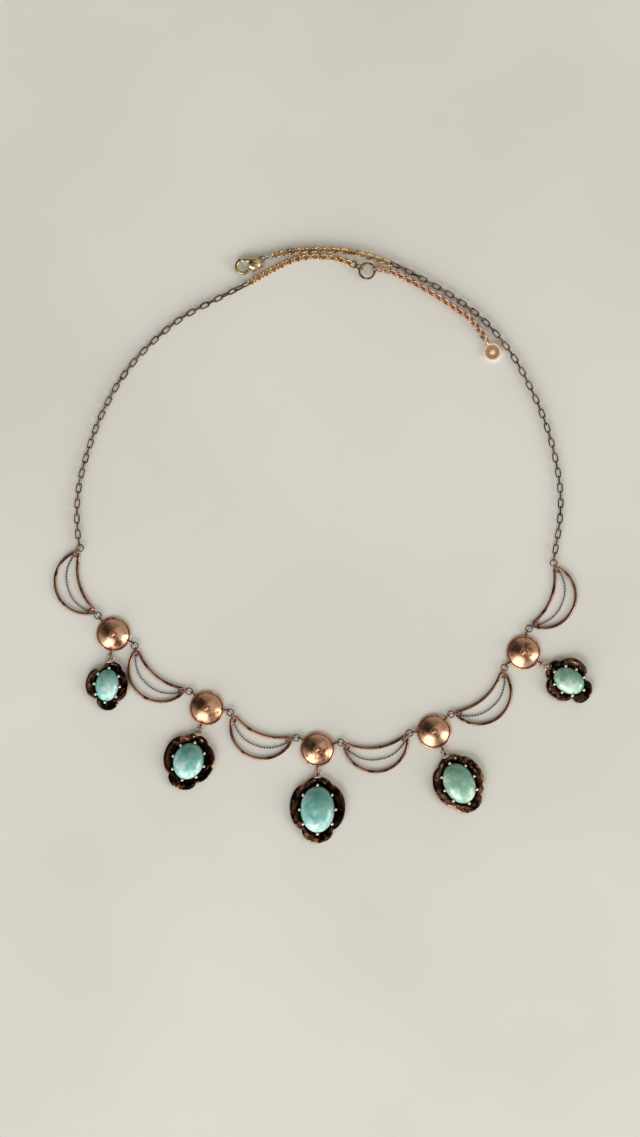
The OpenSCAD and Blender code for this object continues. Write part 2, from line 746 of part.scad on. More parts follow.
laid() color(pale_metal) tilted_ring(right_way, clasp_ring_1_s, clasp_ring_r, clasp_ring_wire, -75);  // clasp_ring_1
laid() color(pale_metal) tilted_ring(right_way, clasp_ring_2_s, clasp_ring_r, clasp_ring_wire, 25);  // clasp_ring_2
laid() clasp_body();
laid() clasp_pin();
laid() clasp_lever();
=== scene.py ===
"""Looks of a rose-gold festoon necklace with five turquoise drops, lying on a pale surface.

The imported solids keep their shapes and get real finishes. The cast settings, the discs, the
fine chains and the clasp's lever are rebuilt here in more detail, in the same places.
"""
import logging
import math
from collections.abc import Callable
from dataclasses import dataclass, field
from enum import Enum

import bpy
import numpy as np
from mathutils import Matrix, Vector


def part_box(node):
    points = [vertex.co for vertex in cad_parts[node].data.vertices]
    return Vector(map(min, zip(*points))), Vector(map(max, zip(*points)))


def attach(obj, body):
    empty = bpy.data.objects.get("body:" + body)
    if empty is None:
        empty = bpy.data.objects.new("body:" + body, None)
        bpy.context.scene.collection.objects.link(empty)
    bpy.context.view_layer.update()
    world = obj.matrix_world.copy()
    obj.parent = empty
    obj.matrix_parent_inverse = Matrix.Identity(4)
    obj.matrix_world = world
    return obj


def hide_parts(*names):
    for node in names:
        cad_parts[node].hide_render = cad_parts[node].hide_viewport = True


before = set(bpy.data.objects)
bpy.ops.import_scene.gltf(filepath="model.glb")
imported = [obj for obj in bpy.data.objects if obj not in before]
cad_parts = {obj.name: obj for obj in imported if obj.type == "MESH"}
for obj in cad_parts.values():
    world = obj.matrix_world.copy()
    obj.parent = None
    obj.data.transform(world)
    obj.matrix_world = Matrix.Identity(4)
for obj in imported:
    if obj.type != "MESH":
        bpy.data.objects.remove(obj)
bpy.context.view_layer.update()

Tree = bpy.types.NodeTree
Socket = bpy.types.NodeSocket

LOG = logging.getLogger("necklace")
MM = 0.001
HOME = "necklace"
# Smallest angles that stay sharp, in degrees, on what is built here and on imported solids
BUILT_CREASE = 50.0
KEPT_CREASE = 32.0
# A stretched range with soft ends, a product, and a mix of colours, which go into its inputs 6 and 7
SOFT = {"interpolation_type": "SMOOTHSTEP"}
TIMES = {"operation": "MULTIPLY"}
COLOURS = {"data_type": "RGBA", "out": 2}
# Where a pattern starts and ends. Noise is mostly 0.3 to 0.7, and pointiness is 0.5 on flat metal.
SMEARS = (0.3, 0.7)
FILM = (0.72, 0.86)
WARM = (1.04, 1.2)
HANDLED = (0.46, 0.6)
# Pointiness over which recesses fill with painted shade, in the tarnish colour
SHADED_HOLLOWS = (0.495, 0.47)
# Pointiness over which edges take the worn colour, which is partly a painted highlight
HIGHLIT_EDGES = (0.52, 0.58)


def srgb(hex_colour: str) -> tuple[float, float, float, float]:
    """Turns an sRGB hex colour into a linear one.

    Args:
        hex_colour: six hexadecimal digits after a hash sign.
    Returns:
        Linear red, green and blue with an alpha of one.
    """
    raw = [int(hex_colour[i:i + 2], 16) / 255 for i in (1, 3, 5)]
    lin = [c / 12.92 if c <= 0.04045 else ((c + 0.055) / 1.055) ** 2.4 for c in raw]
    return lin[0], lin[1], lin[2], 1.0


def add(tree: Tree, kind: str, links: dict | None = None, out: int | str = 0, **settings) -> Socket | None:
    """Adds a node with its settings, values and links.

    Args:
        tree: the node tree that it goes into.
        kind: the node's type name.
        links: input name or number to a value or to the socket that feeds it.
        out: name or number of the output that is wanted.
        settings: properties of the node itself.
    Returns:
        That output, or nothing for a node at the end of a tree.
    """
    node = tree.nodes.new(kind)
    for name, value in settings.items():
        setattr(node, name, value)
    for name, value in (links or {}).items():
        if isinstance(value, Socket):
            tree.links.new(value, node.inputs[name])
        else:
            node.inputs[name].default_value = value
    return node.outputs[out] if len(node.outputs) else None


def blank(name: str) -> tuple[bpy.types.Material, Tree]:
    """Makes an empty material.

    Args:
        name: the material's name.
    Returns:
        The material and its cleared node tree.
    """
    made = bpy.data.materials.new(name)
    made.use_nodes = True
    made.node_tree.nodes.clear()
    return made, made.node_tree


def between(low: float, high: float) -> dict[str, float]:
    """Names the two ends of the range that is stretched to 0..1."""
    return {"From Min": low, "From Max": high}


def spots(tree: Tree) -> Socket:
    """Gives each point's place on its piece, in millimetres.

    Args:
        tree: the node tree.
    Returns:
        The place.
    """
    place = add(tree, "ShaderNodeTexCoord", out="Object")
    return add(tree, "ShaderNodeVectorMath", {0: place, 1: (1 / MM,) * 3}, **TIMES)


@dataclass(frozen=True)
class MetalFinish:
    """A polished metal whose plating is worn on its edges, with a painted highlight there, tarnished in
    patches, and painted with shade in its recesses.

    A metal's colour is that of its reflections, so face is the clean plating, worn what shows
    on rubbed edges, where it is also a painted highlight, and tarnish the brown of soft patches
    and the painted shade in recesses. Where it is marked, the piece says itself how black, with
    painted shade and patina, and how rubbed, with painted highlights, each point is. Spots,
    touches and smears are counted over the length of one patch.
    """

    name: str
    face: str
    worn: str
    tarnish_and_shade: str
    roughness: float
    tarnish_share: float
    patch_mm: float = 3.0
    ripple_mm: float = 0.9
    ripple_depth_mm: float = 0.012
    scratch_mm: float = 0.12
    scratch_strength: float = 0.12
    scratch_depth_share: float = 1 / 6
    scratch_way: tuple[float, float, float] = (1.0, 0.45, 0.7)
    marked: bool = False
    warm: str = ""
    warm_mm: float = 9.0
    warm_spots: float = 6.0
    touches: float = 0.6
    smears: float = 2.2
    gloss_shares: tuple[float, float] = (0.7, 1.5)

    def build(self) -> bpy.types.Material:
        """Builds the material.

        Returns:
            A metallic material with patches, worn edges, ripples and fine scratches.
        """
        made, tree = blank(self.name)
        spot = spots(tree)
        shader = add(tree, "ShaderNodeBsdfPrincipled", {
            "Base Color": self.colour(tree, spot), "Metallic": 1.0,
            "Roughness": self.gloss(tree, spot), "Normal": self.relief(tree, spot)})
        add(tree, "ShaderNodeOutputMaterial", {"Surface": shader})
        return made

    def colour(self, tree: Tree, spot: Socket) -> Socket:
        """Makes the plating's colour.

        Args:
            tree: the node tree.
            spot: place on the piece, in millimetres.
        Returns:
            The clean plating with brown patches, painted shade in recesses, warm patches and rubbed edges,
            worn and painted as highlights, over it.
        """
        edges = add(tree, "ShaderNodeNewGeometry", out="Pointiness")
        # Painted shade: recesses darken in the same colour as the tarnish
        shaded_hollows = add(tree, "ShaderNodeMapRange", {"Value": edges, **between(*SHADED_HOLLOWS)}, **SOFT)
        film_and_shade = add(tree, "ShaderNodeTexNoise", {"Vector": spot, "Scale": 1 / self.patch_mm, "Detail": 5.0,
                                                "Roughness": 0.6})
        range_of_film = (end - self.tarnish_share / 2 for end in FILM)
        film_and_shade = add(tree, "ShaderNodeMapRange", {"Value": film_and_shade, **between(*range_of_film)}, **SOFT)
        # Brown tarnish patches and painted shade in recesses darken the plating together
        film_and_shade = add(tree, "ShaderNodeMath", {0: film_and_shade, 1: shaded_hollows}, operation="MAXIMUM")
        colour = add(tree, "ShaderNodeMix", {0: film_and_shade, 6: srgb(self.face), 7: srgb(self.tarnish_and_shade)}, **COLOURS)
        if self.warm:
            patches = self.patches(tree, spot)
            warm = add(tree, "ShaderNodeMapRange", {"Value": patches, **between(*WARM)}, **SOFT)
            colour = add(tree, "ShaderNodeMix", {0: warm, 6: colour, 7: srgb(self.warm)}, **COLOURS)
        if self.marked:
            # Painted shade of the cup round the stone, with black patina, as the piece marks it
            collet_shade_and_patina = add(tree, "ShaderNodeAttribute", out="Fac", attribute_name="collet_shade_and_patina")
            colour = add(tree, "ShaderNodeMix", {0: collet_shade_and_patina, 6: colour, 7: srgb(self.tarnish_and_shade)}, **COLOURS)
            # Rubbed edges: worn metal, also painted as a highlight
            rubbed = self.handled(tree, spot)
        else:
            # Worn edges, found by pointiness, are also painted lighter as a highlight
            rubbed = add(tree, "ShaderNodeMapRange", {"Value": edges, **between(*HIGHLIT_EDGES)}, **SOFT)
        return add(tree, "ShaderNodeMix", {0: rubbed, 6: colour, 7: srgb(self.worn)}, **COLOURS)

    def patches(self, tree: Tree, spot: Socket) -> Socket:
        """Makes the warm patches, large ones with small spots among them.

        Args:
            tree: the node tree.
            spot: place on the piece, in millimetres.
        Returns:
            The sum of the two patterns.
        """
        large = add(tree, "ShaderNodeTexNoise", {"Vector": spot, "Scale": 1 / self.warm_mm, "Detail": 4.0,
                                                 "Roughness": 0.55})
        small = add(tree, "ShaderNodeTexNoise", {"Vector": spot, "Scale": self.warm_spots / self.warm_mm,
                                                 "Detail": 4.0, "Roughness": 0.6})
        return add(tree, "ShaderNodeMath", {0: large, 1: small}, operation="ADD")

    def handled(self, tree: Tree, spot: Socket) -> Socket:
        """Finds where the marked edges have been handled most.

        Args:
            tree: the node tree.
            spot: place on the piece, in millimetres.
        Returns:
            How much of the worn colour shows, which is also a painted highlight.
        """
        marked = add(tree, "ShaderNodeAttribute", out="Fac", attribute_name="rubbed")
        touched = add(tree, "ShaderNodeTexNoise", {"Vector": spot, "Scale": self.touches / self.patch_mm,
                                                   "Detail": 3.0})
        touched = add(tree, "ShaderNodeMapRange", {"Value": touched, **between(*HANDLED)}, **SOFT)
        return add(tree, "ShaderNodeMath", {0: marked, 1: touched}, **TIMES)

    def gloss(self, tree: Tree, spot: Socket) -> Socket:
        """Makes the roughness, which varies where the metal has been touched.

        Args:
            tree: the node tree.
            spot: place on the piece, in millimetres.
        Returns:
            The roughness.
        """
        smear = add(tree, "ShaderNodeTexNoise", {"Vector": spot, "Scale": self.smears / self.patch_mm,
                                                 "Detail": 4.0})
        least, most = (self.roughness * share for share in self.gloss_shares)
        return add(tree, "ShaderNodeMapRange", {"Value": smear, **between(*SMEARS), "To Min": least,
                                                "To Max": most})

    def relief(self, tree: Tree, spot: Socket) -> Socket:
        """Makes soft ripples with hairline scratches on them.

        Args:
            tree: the node tree.
            spot: place on the piece, in millimetres.
        Returns:
            The bent normal.
        """
        depth = self.ripple_depth_mm * MM
        ripple = add(tree, "ShaderNodeTexNoise", {"Vector": spot, "Scale": 1 / self.ripple_mm, "Detail": 2.0})
        strokes = add(tree, "ShaderNodeVectorMath", {0: spot, 1: self.scratch_way}, **TIMES)
        scratches = add(tree, "ShaderNodeTexNoise", {"Vector": strokes, "Scale": 1 / self.scratch_mm,
                                                     "Detail": 3.0})
        wavy = add(tree, "ShaderNodeBump", {"Height": ripple, "Strength": 1.0, "Distance": depth})
        return add(tree, "ShaderNodeBump", {"Height": scratches, "Strength": self.scratch_strength,
                                            "Normal": wavy, "Distance": depth * self.scratch_depth_share})


@dataclass(frozen=True)
class StoneFinish:
    """A turquoise-coloured cabochon, ground and polished to a glassy dome.

    The body glows a little, clouds of paler colour run through it, painted shade deepens it
    towards its top and towards the end away from the windows, and greenish specks and a faint
    web of matrix lines show in it.
    """

    name: str
    deep: str
    body: str
    pale: str
    speck: str
    cloud_mm: float = 3.4
    cloud_range: tuple[float, float] = (0.38, 0.62)
    speck_mm: float = 1.3
    speck_range: tuple[float, float] = (0.5, 0.62)
    speck_strength: float = 0.42
    top_mm: tuple[float, float] = (2.4, 4.5)
    top_strength: float = 0.3
    end_way: tuple[float, float, float] = (0.5, 0.85, 0.0)
    end_range: tuple[float, float] = (0.5, 1.15)
    end_strength: float = 0.85
    web_mm: float = 2.6
    web_range: tuple[float, float] = (0.06, 0.0)
    web_strength: float = 0.13
    polish_mm: float = 2 / 3
    polish_depth_mm: float = 0.01
    glow_mm: float = 1.2

    def build(self) -> bpy.types.Material:
        """Builds the material.

        Returns:
            A glossy, slightly translucent stone.
        """
        made, tree = blank(self.name)
        spot = spots(tree)
        polish = add(tree, "ShaderNodeTexNoise", {"Vector": spot, "Scale": 1 / self.polish_mm, "Detail": 2.0})
        rough = add(tree, "ShaderNodeMapRange", {"Value": polish, "To Min": 0.2, "To Max": 0.3})
        uneven = add(tree, "ShaderNodeBump", {"Height": polish, "Strength": 1.0,
                                              "Distance": self.polish_depth_mm * MM})
        shader = add(tree, "ShaderNodeBsdfPrincipled", {
            "Base Color": self.colour(tree, spot), "Roughness": rough, "IOR": 1.6, "Normal": uneven,
            "Subsurface Weight": 0.25, "Subsurface Radius": (0.4, 0.9, 0.8),
            "Subsurface Scale": self.glow_mm * MM, "Coat Weight": 0.4, "Coat Roughness": 0.16})
        add(tree, "ShaderNodeOutputMaterial", {"Surface": shader})
        return made

    def colour(self, tree: Tree, spot: Socket) -> Socket:
        """Makes the stone's colour.

        Args:
            tree: the node tree.
            spot: place on the piece, in millimetres.
        Returns:
            The body colour with clouds, specks, painted shade and lines.
        """
        clouds = add(tree, "ShaderNodeTexNoise", {"Vector": spot, "Scale": 1 / self.cloud_mm, "Detail": 3.0})
        paler = add(tree, "ShaderNodeMapRange", {"Value": clouds, **between(*self.cloud_range)}, **SOFT)
        colour = add(tree, "ShaderNodeMix", {0: paler, 6: srgb(self.body), 7: srgb(self.pale)}, **COLOURS)
        specks = add(tree, "ShaderNodeTexNoise", {"Vector": spot, "Scale": 1 / self.speck_mm, "Detail": 4.0,
                                                  "Roughness": 0.65})
        specks = add(tree, "ShaderNodeMapRange", {"Value": specks, **between(*self.speck_range)}, **SOFT)
        specks = add(tree, "ShaderNodeMath", {0: specks, 1: self.speck_strength}, **TIMES)
        colour = add(tree, "ShaderNodeMix", {0: specks, 6: colour, 7: srgb(self.speck)}, **COLOURS)
        # Painted shade: the colour deepens at the stone's top and towards the end away from the windows
        painted_shade = self.painted_shade(tree, spot)
        colour = add(tree, "ShaderNodeMix", {0: painted_shade, 6: colour, 7: srgb(self.deep)}, **COLOURS)
        bent = add(tree, "ShaderNodeVectorMath", {0: spot, 1: clouds}, operation="ADD")
        lines = add(tree, "ShaderNodeTexVoronoi", {"Vector": bent, "Scale": 1 / self.web_mm},
                    out="Distance", feature="DISTANCE_TO_EDGE")
        lines = add(tree, "ShaderNodeMapRange", {"Value": lines, **between(*self.web_range)}, **SOFT)
        lines = add(tree, "ShaderNodeMath", {0: lines, 1: self.web_strength}, **TIMES)
        return add(tree, "ShaderNodeMix", {0: lines, 6: colour, 7: srgb(self.deep)}, **COLOURS)

    def painted_shade(self, tree: Tree, spot: Socket) -> Socket:
        """Finds where painted shade deepens the colour, at the stone's top and towards one end.

        Args:
            tree: the node tree.
            spot: place on the piece, in millimetres.
        Returns:
            The share of the deep colour, which is painted shade.
        """
        top = add(tree, "ShaderNodeSeparateXYZ", {0: spot}, out="Z")
        top = add(tree, "ShaderNodeMapRange", {"Value": top, **between(*self.top_mm)}, **SOFT)
        top = add(tree, "ShaderNodeMath", {0: top, 1: self.top_strength}, **TIMES)
        share = add(tree, "ShaderNodeTexCoord", out="Generated")
        end = add(tree, "ShaderNodeVectorMath", {0: share, 1: self.end_way}, out="Value",
                  operation="DOT_PRODUCT")
        end = add(tree, "ShaderNodeMapRange", {"Value": end, **between(*self.end_range)}, **SOFT)
        end = add(tree, "ShaderNodeMath", {0: end, 1: self.end_strength}, **TIMES)
        return add(tree, "ShaderNodeMath", {0: top, 1: end}, operation="ADD", use_clamp=True)


@dataclass(frozen=True)
class SurfaceFinish:
    """Smooth pale painted surface under the necklace, with the faintest mottling and grain."""

    name: str = "Painted pale tabletop"
    light: str = "#e8e6de"
    dim: str = "#e1ddd3"
    cloud_mm: float = 1000 / 9
    grain_mm: float = 5 / 9
    grain_depth_mm: float = 0.02

    def build(self) -> bpy.types.Material:
        """Builds the material.

        Returns:
            A smooth, matt pale material.
        """
        made, tree = blank(self.name)
        spot = spots(tree)
        clouds = add(tree, "ShaderNodeTexNoise", {"Vector": spot, "Scale": 1 / self.cloud_mm, "Detail": 3.0})
        clouds = add(tree, "ShaderNodeMapRange", {"Value": clouds, **between(*SMEARS)}, **SOFT)
        colour = add(tree, "ShaderNodeMix", {0: clouds, 6: srgb(self.light), 7: srgb(self.dim)}, **COLOURS)
        grain = add(tree, "ShaderNodeTexNoise", {"Vector": spot, "Scale": 1 / self.grain_mm, "Detail": 2.0})
        bumpy = add(tree, "ShaderNodeBump", {"Height": grain, "Strength": 0.15,
                                             "Distance": self.grain_depth_mm * MM})
        shader = add(tree, "ShaderNodeBsdfPrincipled", {"Base Color": colour, "Roughness": 0.75,
                                                        "Specular IOR Level": 0.2, "Normal": bumpy})
        add(tree, "ShaderNodeOutputMaterial", {"Surface": shader})
        return made


class Finish(Enum):
    """The finishes on the necklace. Each is built once and then shared."""

    # Rose gold plating on stamped brass, bright and a little pink, browner where it is handled
    ROSE = MetalFinish("Rose gold plated brass, stamped and polished", "#c4977a", "#dcb89d", "#70442c",
                       0.26, 0.35, ripple_mm=2.6, ripple_depth_mm=0.05)
    # Blackened bronze, lost-wax cast: near black, with painted shade round the collet, and warm where the
    # edges are rubbed, which is also a painted highlight
    BRONZE = MetalFinish("Blackened bronze, cast and waxed", "#4a3022", "#c29478", "#150f0c",
                         0.18, 0.6, ripple_mm=1.7, ripple_depth_mm=0.07, marked=True,
                         warm="#b98563", warm_mm=8.0)
    # The same bronze rubbed back, so that more brown shows between the black patches
    RUBBED_BRONZE = MetalFinish("Blackened bronze, cast and rubbed back", "#84604b", "#d3ab8c", "#20160f",
                                0.2, 0.62, patch_mm=2.4, ripple_mm=1.7, ripple_depth_mm=0.07, marked=True,
                                warm="#a9825c", warm_mm=6.0)
    # Drawn copper wire gone dark brown, with a warm glint
    COPPER = MetalFinish("Oxidised copper wire, drawn", "#715944", "#a38666", "#2b2017", 0.24, 0.45)
    # The very fine chain, almost black between its rubbed bends
    DARK_WIRE = MetalFinish("Oxidised copper wire, drawn very fine", "#4c3d33", "#8f7965", "#1e1713",
                            0.3, 0.5)
    # Claws and the solder at a drop's eye, painted pale as a highlight where they catch the light
    TIP = MetalFinish("Bronze, cast, with a painted highlight", "#cfc6ba", "#e6dfd5", "#8f8072", 0.36, 0.1)
    # Yellow gold plating on round links, with brown tarnished patches and painted shade in the recesses where
    # they touch
    YELLOW = MetalFinish("Yellow gold plated brass, drawn and polished", "#c8a270", "#f4dcae", "#2f1a0b",
                         0.2, 0.38)
    # The same plating on the rings that are handled most, worn through to dark brass
    WORN_YELLOW = MetalFinish("Yellow gold plated brass wire, worn", "#987850", "#c7ab7b", "#412f1b",
                              0.22, 0.5)
    # Paler gold of the clasp, cast and tumbled, a little green in its shadows
    PALE_GOLD = MetalFinish("Pale gold plated brass, cast and tumbled", "#c7b27e", "#e8ddb3", "#6b5c31",
                            0.24, 0.3, ripple_mm=1.8, ripple_depth_mm=0.02)
    # Bare nickel-silver wire, greyer than the rest
    PALE = MetalFinish("Nickel silver wire, tumbled", "#b9b4ae", "#e6e2dc", "#6b635c", 0.25, 0.3)
    # Rose gold on fine wire, seen mostly in shadow
    FRAME = MetalFinish("Rose gold plated wire, bent and soldered", "#8f664d", "#b88f78", "#38261e",
                        0.22, 0.45)
    # The end tag's blasted faces, which spread the light so that it looks paler than the links
    SATIN_ROSE = MetalFinish("Rose gold plated brass, bead blasted", "#fbe1c9", "#fdecd9", "#cba483",
                             0.6, 0.2)
    # Paler, pinker gold of the clasp's lever, satin from tumbling
    PINK = MetalFinish("Pale rose gold plated brass, tumbled", "#f8dfd0", "#fdeee4", "#c9a593",
                       0.52, 0.15)
    # Blue-green stones, glassy, with paler clouds
    STONE = StoneFinish("Turquoise, ground and polished", "#3f8578", "#8bcec4", "#daf6f0", "#5f9981")
    # Greener and browner stones of the right side
    GREEN_STONE = StoneFinish("Green turquoise, ground and polished", "#4d8871", "#93c6ab", "#d6eddb",
                              "#78996c")
    # Matt, even paint that the necklace lies on, so pale that its shadows stay soft
    SURFACE = SurfaceFinish()

    def material(self) -> bpy.types.Material:
        """Gives the material of this finish, made on first use."""
        return bpy.data.materials.get(self.value.name) or self.value.build()


def polar(r: float, heading: float) -> Vector:
    """Gives the point at a distance r and a heading in degrees, seen from above."""
    return Vector((r * math.cos(math.radians(heading)), r * math.sin(math.radians(heading))))


def sky(azimuth: float, elevation: float) -> Vector:
    """Gives the way to a spot in the sky, from its two angles in degrees."""
    level = polar(math.cos(math.radians(elevation)), azimuth)
    return Vector((level.x, level.y, math.sin(math.radians(elevation))))


def up(height: float) -> Vector:
    """Gives the step straight up by a height."""
    return Vector((0, 0, height))


def round_circle(count: int) -> list[float]:
    """Gives angles in radians, spread evenly round a circle."""
    return [2 * math.pi * k / count for k in range(count)]


def heading_of(way: Vector) -> float:
    """Gives the heading of a way in degrees, seen from above."""
    return math.degrees(math.atan2(way.y, way.x))


def middle_of(node: str) -> Vector:
    """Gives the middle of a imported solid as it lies, in millimetres, seen from above."""
    low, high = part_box(node)
    return Vector(((low.x + high.x) / 2 / MM, (low.y + high.y) / 2 / MM))


def turned(degrees: float, axis: str) -> Matrix:
    """Gives a turn round one of the axes."""
    return Matrix.Rotation(math.radians(degrees), 4, axis)


@dataclass(frozen=True)
class Place:
    """Where a piece lies: its centre in millimetres and its turn in degrees seen from above."""

    x: float
    y: float
    turn: float

    def matrix(self) -> Matrix:
        """Gives the transform from the piece's own frame to the necklace's, in metres."""
        return Matrix.Translation((self.x * MM, self.y * MM, 0)) @ turned(self.turn, "Z")


@dataclass
class Sheet:
    """Points and faces that are gathered, in millimetres, before they become one mesh.

    Below the sine upright a tube counts as upright, and pole is the angle that a ball leaves
    open at its top and bottom, where a face closes it.
    """

    points: list[tuple[float, float, float]] = field(default_factory=list)
    faces: list[tuple[int, ...]] = field(default_factory=list)
    upright: float = 0.2
    pole: float = 0.06

    def grid(self, rows: list[list[tuple[float, float, float]]], loop: bool, caps: bool = False) -> None:
        """Adds closed sections that are joined one after another.

        Args:
            rows: sections, each with the same number of points.
            loop: whether the last section joins the first.
            caps: whether the first and last section are closed with a face.
        """
        start, across = len(self.points), len(rows[0])
        for row in rows:
            self.points.extend(row)
        for k in range(len(rows) if loop else len(rows) - 1):
            here, there = start + k * across, start + ((k + 1) % len(rows)) * across
            for j in range(across):
                beside = (j + 1) % across
                self.faces.append((here + j, here + beside, there + beside, there + j))
        if caps:
            last = start + (len(rows) - 1) * across
            self.faces.append(tuple(start + across - 1 - j for j in range(across)))
            self.faces.append(tuple(last + j for j in range(across)))

    def tube(self, path: list[Vector], radii: list[float], sides: int = 14, loop: bool = False,
             flat: float = 1.0) -> None:
        """Adds a round tube along a path.

        Args:
            path: points of its middle line.
            radii: its radius at each point.
            sides: sides of its section.
            loop: whether it closes on itself.
            flat: its height as a share of its width.
        """
        rows = []
        count = len(path)
        for k, centre in enumerate(path):
            ahead = path[(k + 1) % count] if loop or k + 1 < count else path[k]
            behind = path[k - 1] if loop or k > 0 else path[k]
            way = (ahead - behind).normalized()
            side = way.cross(up(1))
            if side.length < self.upright:
                side = Vector((1, 0, 0)).cross(way)
            side.normalize()
            over = side.cross(way)
            rows.append([tuple(centre + radii[k] * (math.cos(b) * side + flat * math.sin(b) * over))
                         for b in round_circle(sides)])
        self.grid(rows, loop, caps=not loop)

    def spin(self, section: Callable[[float], list[tuple[float, float]]], facets: int,
             centre: Vector = Vector((0, 0, 0))) -> None:
        """Adds a closed section that is turned round an upright axis.

        Args:
            section: gives points of radius and height for a direction in radians.
            facets: facets round the axis.
            centre: where the axis and the section's height start.
        """
        rows = []
        for a in round_circle(facets):
            rows.append([tuple(centre + Vector((r * math.cos(a), r * math.sin(a), z)))
                         for r, z in section(a)])
        self.grid(rows, loop=True)

    def ring(self, place: Matrix, r: float, wire: float, steps: int = 32, sides: int = 14,
             stretch: float = 0.0) -> None:
        """Adds a wire ring, or an oval link where stretch is more than zero.

        Args:
            place: the ring's own frame in the piece, in millimetres.
            r: radius to the middle of the wire.
            wire: the wire's thickness.
            steps: steps round the ring.
            sides: sides of the wire.
            stretch: length of the straight part between the two bends.
        """
        rows = []
        for k in range(steps):
            a = 2 * math.pi * (k + 0.5) / steps
            shift = math.copysign(stretch / 2, math.cos(a))
            rows.append([tuple(place @ Vector((
                (r + wire / 2 * math.cos(b)) * math.cos(a) + shift,
                (r + wire / 2 * math.cos(b)) * math.sin(a),
                wire / 2 * math.sin(b)))) for b in round_circle(sides)])
        self.grid(rows, loop=True)

    def ball(self, centre: Vector, size: Vector, steps: int = 16) -> None:
        """Adds an egg-shaped ball.

        Args:
            centre: its middle.
            size: its half sizes.
            steps: steps round it.
        """
        rows = []
        half = steps // 2
        for v in (self.pole, *(math.pi * k / half for k in range(1, half)), math.pi - self.pole):
            rows.append([(centre.x + size.x * math.sin(v) * math.cos(a),
                          centre.y + size.y * math.sin(v) * math.sin(a),
                          centre.z - size.z * math.cos(v)) for a in round_circle(steps)])
        self.grid(rows, loop=False, caps=True)

    def solid(self, name: str, place: Matrix, finish: Finish, body: str = HOME) -> bpy.types.Object:
        """Turns what was gathered into one smooth object.

        Args:
            name: its name.
            place: its frame in the necklace's, in metres.
            finish: its finish.
            body: what it moves with.
        Returns:
            The object.
        """
        mesh = bpy.data.meshes.new(name)
        mesh.from_pydata([tuple(place @ (Vector(p) * MM)) for p in self.points], [], self.faces)
        mesh.validate()
        mesh.materials.append(finish.material())
        made = bpy.data.objects.new(name, mesh)
        bpy.context.scene.collection.objects.link(made)
        smooth(made, BUILT_CREASE)
        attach(made, body)
        return made


def smooth(made: bpy.types.Object, crease: float) -> None:
    """Shades a mesh smoothly, with creases where its faces meet at a sharp angle.

    Args:
        made: the object.
        crease: smallest angle that stays sharp, in degrees.
    """
    made.data.polygons.foreach_set("use_smooth", [True] * len(made.data.polygons))
    made.data.set_sharp_from_angle(angle=math.radians(crease))


def smooth_step(t: float) -> float:
    """Eases t from 0 to 1, flat at both ends."""
    t = min(max(t, 0.0), 1.0)
    return t * t * (3 - 2 * t)


def curve_through(points: list[tuple[float, float]], steps: int) -> list[tuple[float, float]]:
    """Runs a smooth line through points.

    Args:
        points: the points, in the plane.
        steps: steps between two of them.
    Returns:
        Points of the smooth line, the given ones among them.
    """
    line = []
    for i in range(len(points) - 1):
        a, b, c, d = (np.array(points[min(max(j, 0), len(points) - 1)]) for j in (i - 1, i, i + 1, i + 2))
        for k in range(steps):
            t = k / steps
            bend = (2 * a - 5 * b + 4 * c - d) * t ** 2 + (3 * b - a - 3 * c + d) * t ** 3
            p = 0.5 * (2 * b + (c - a) * t + bend)
            line.append((float(p[0]), float(p[1])))
    line.append(points[-1])
    return line


class PetalStyle(Enum):
    """How the four oval petals sit: middle and half size, as shares of the drop's half size.

    The first two are the side petals, which overlap the other two.
    """

    ROUND = (((0.46, 0.06), (0.54, 0.68)), ((-0.46, 0.06), (0.54, 0.68)),
             ((0.03, 0.62), (0.54, 0.34)), ((0.0, -0.65), (0.56, 0.35)))
    OPEN = (((0.46, 0.04), (0.54, 0.64)), ((-0.52, 0.0), (0.48, 0.6)),
            ((0.15, 0.6), (0.46, 0.36)), ((0.1, -0.62), (0.5, 0.38)))
    NARROW = (((0.5, 0.08), (0.5, 0.56)), ((-0.48, 0.12), (0.52, 0.58)),
              ((0.05, 0.62), (0.5, 0.36)), ((-0.1, -0.64), (0.54, 0.36)))


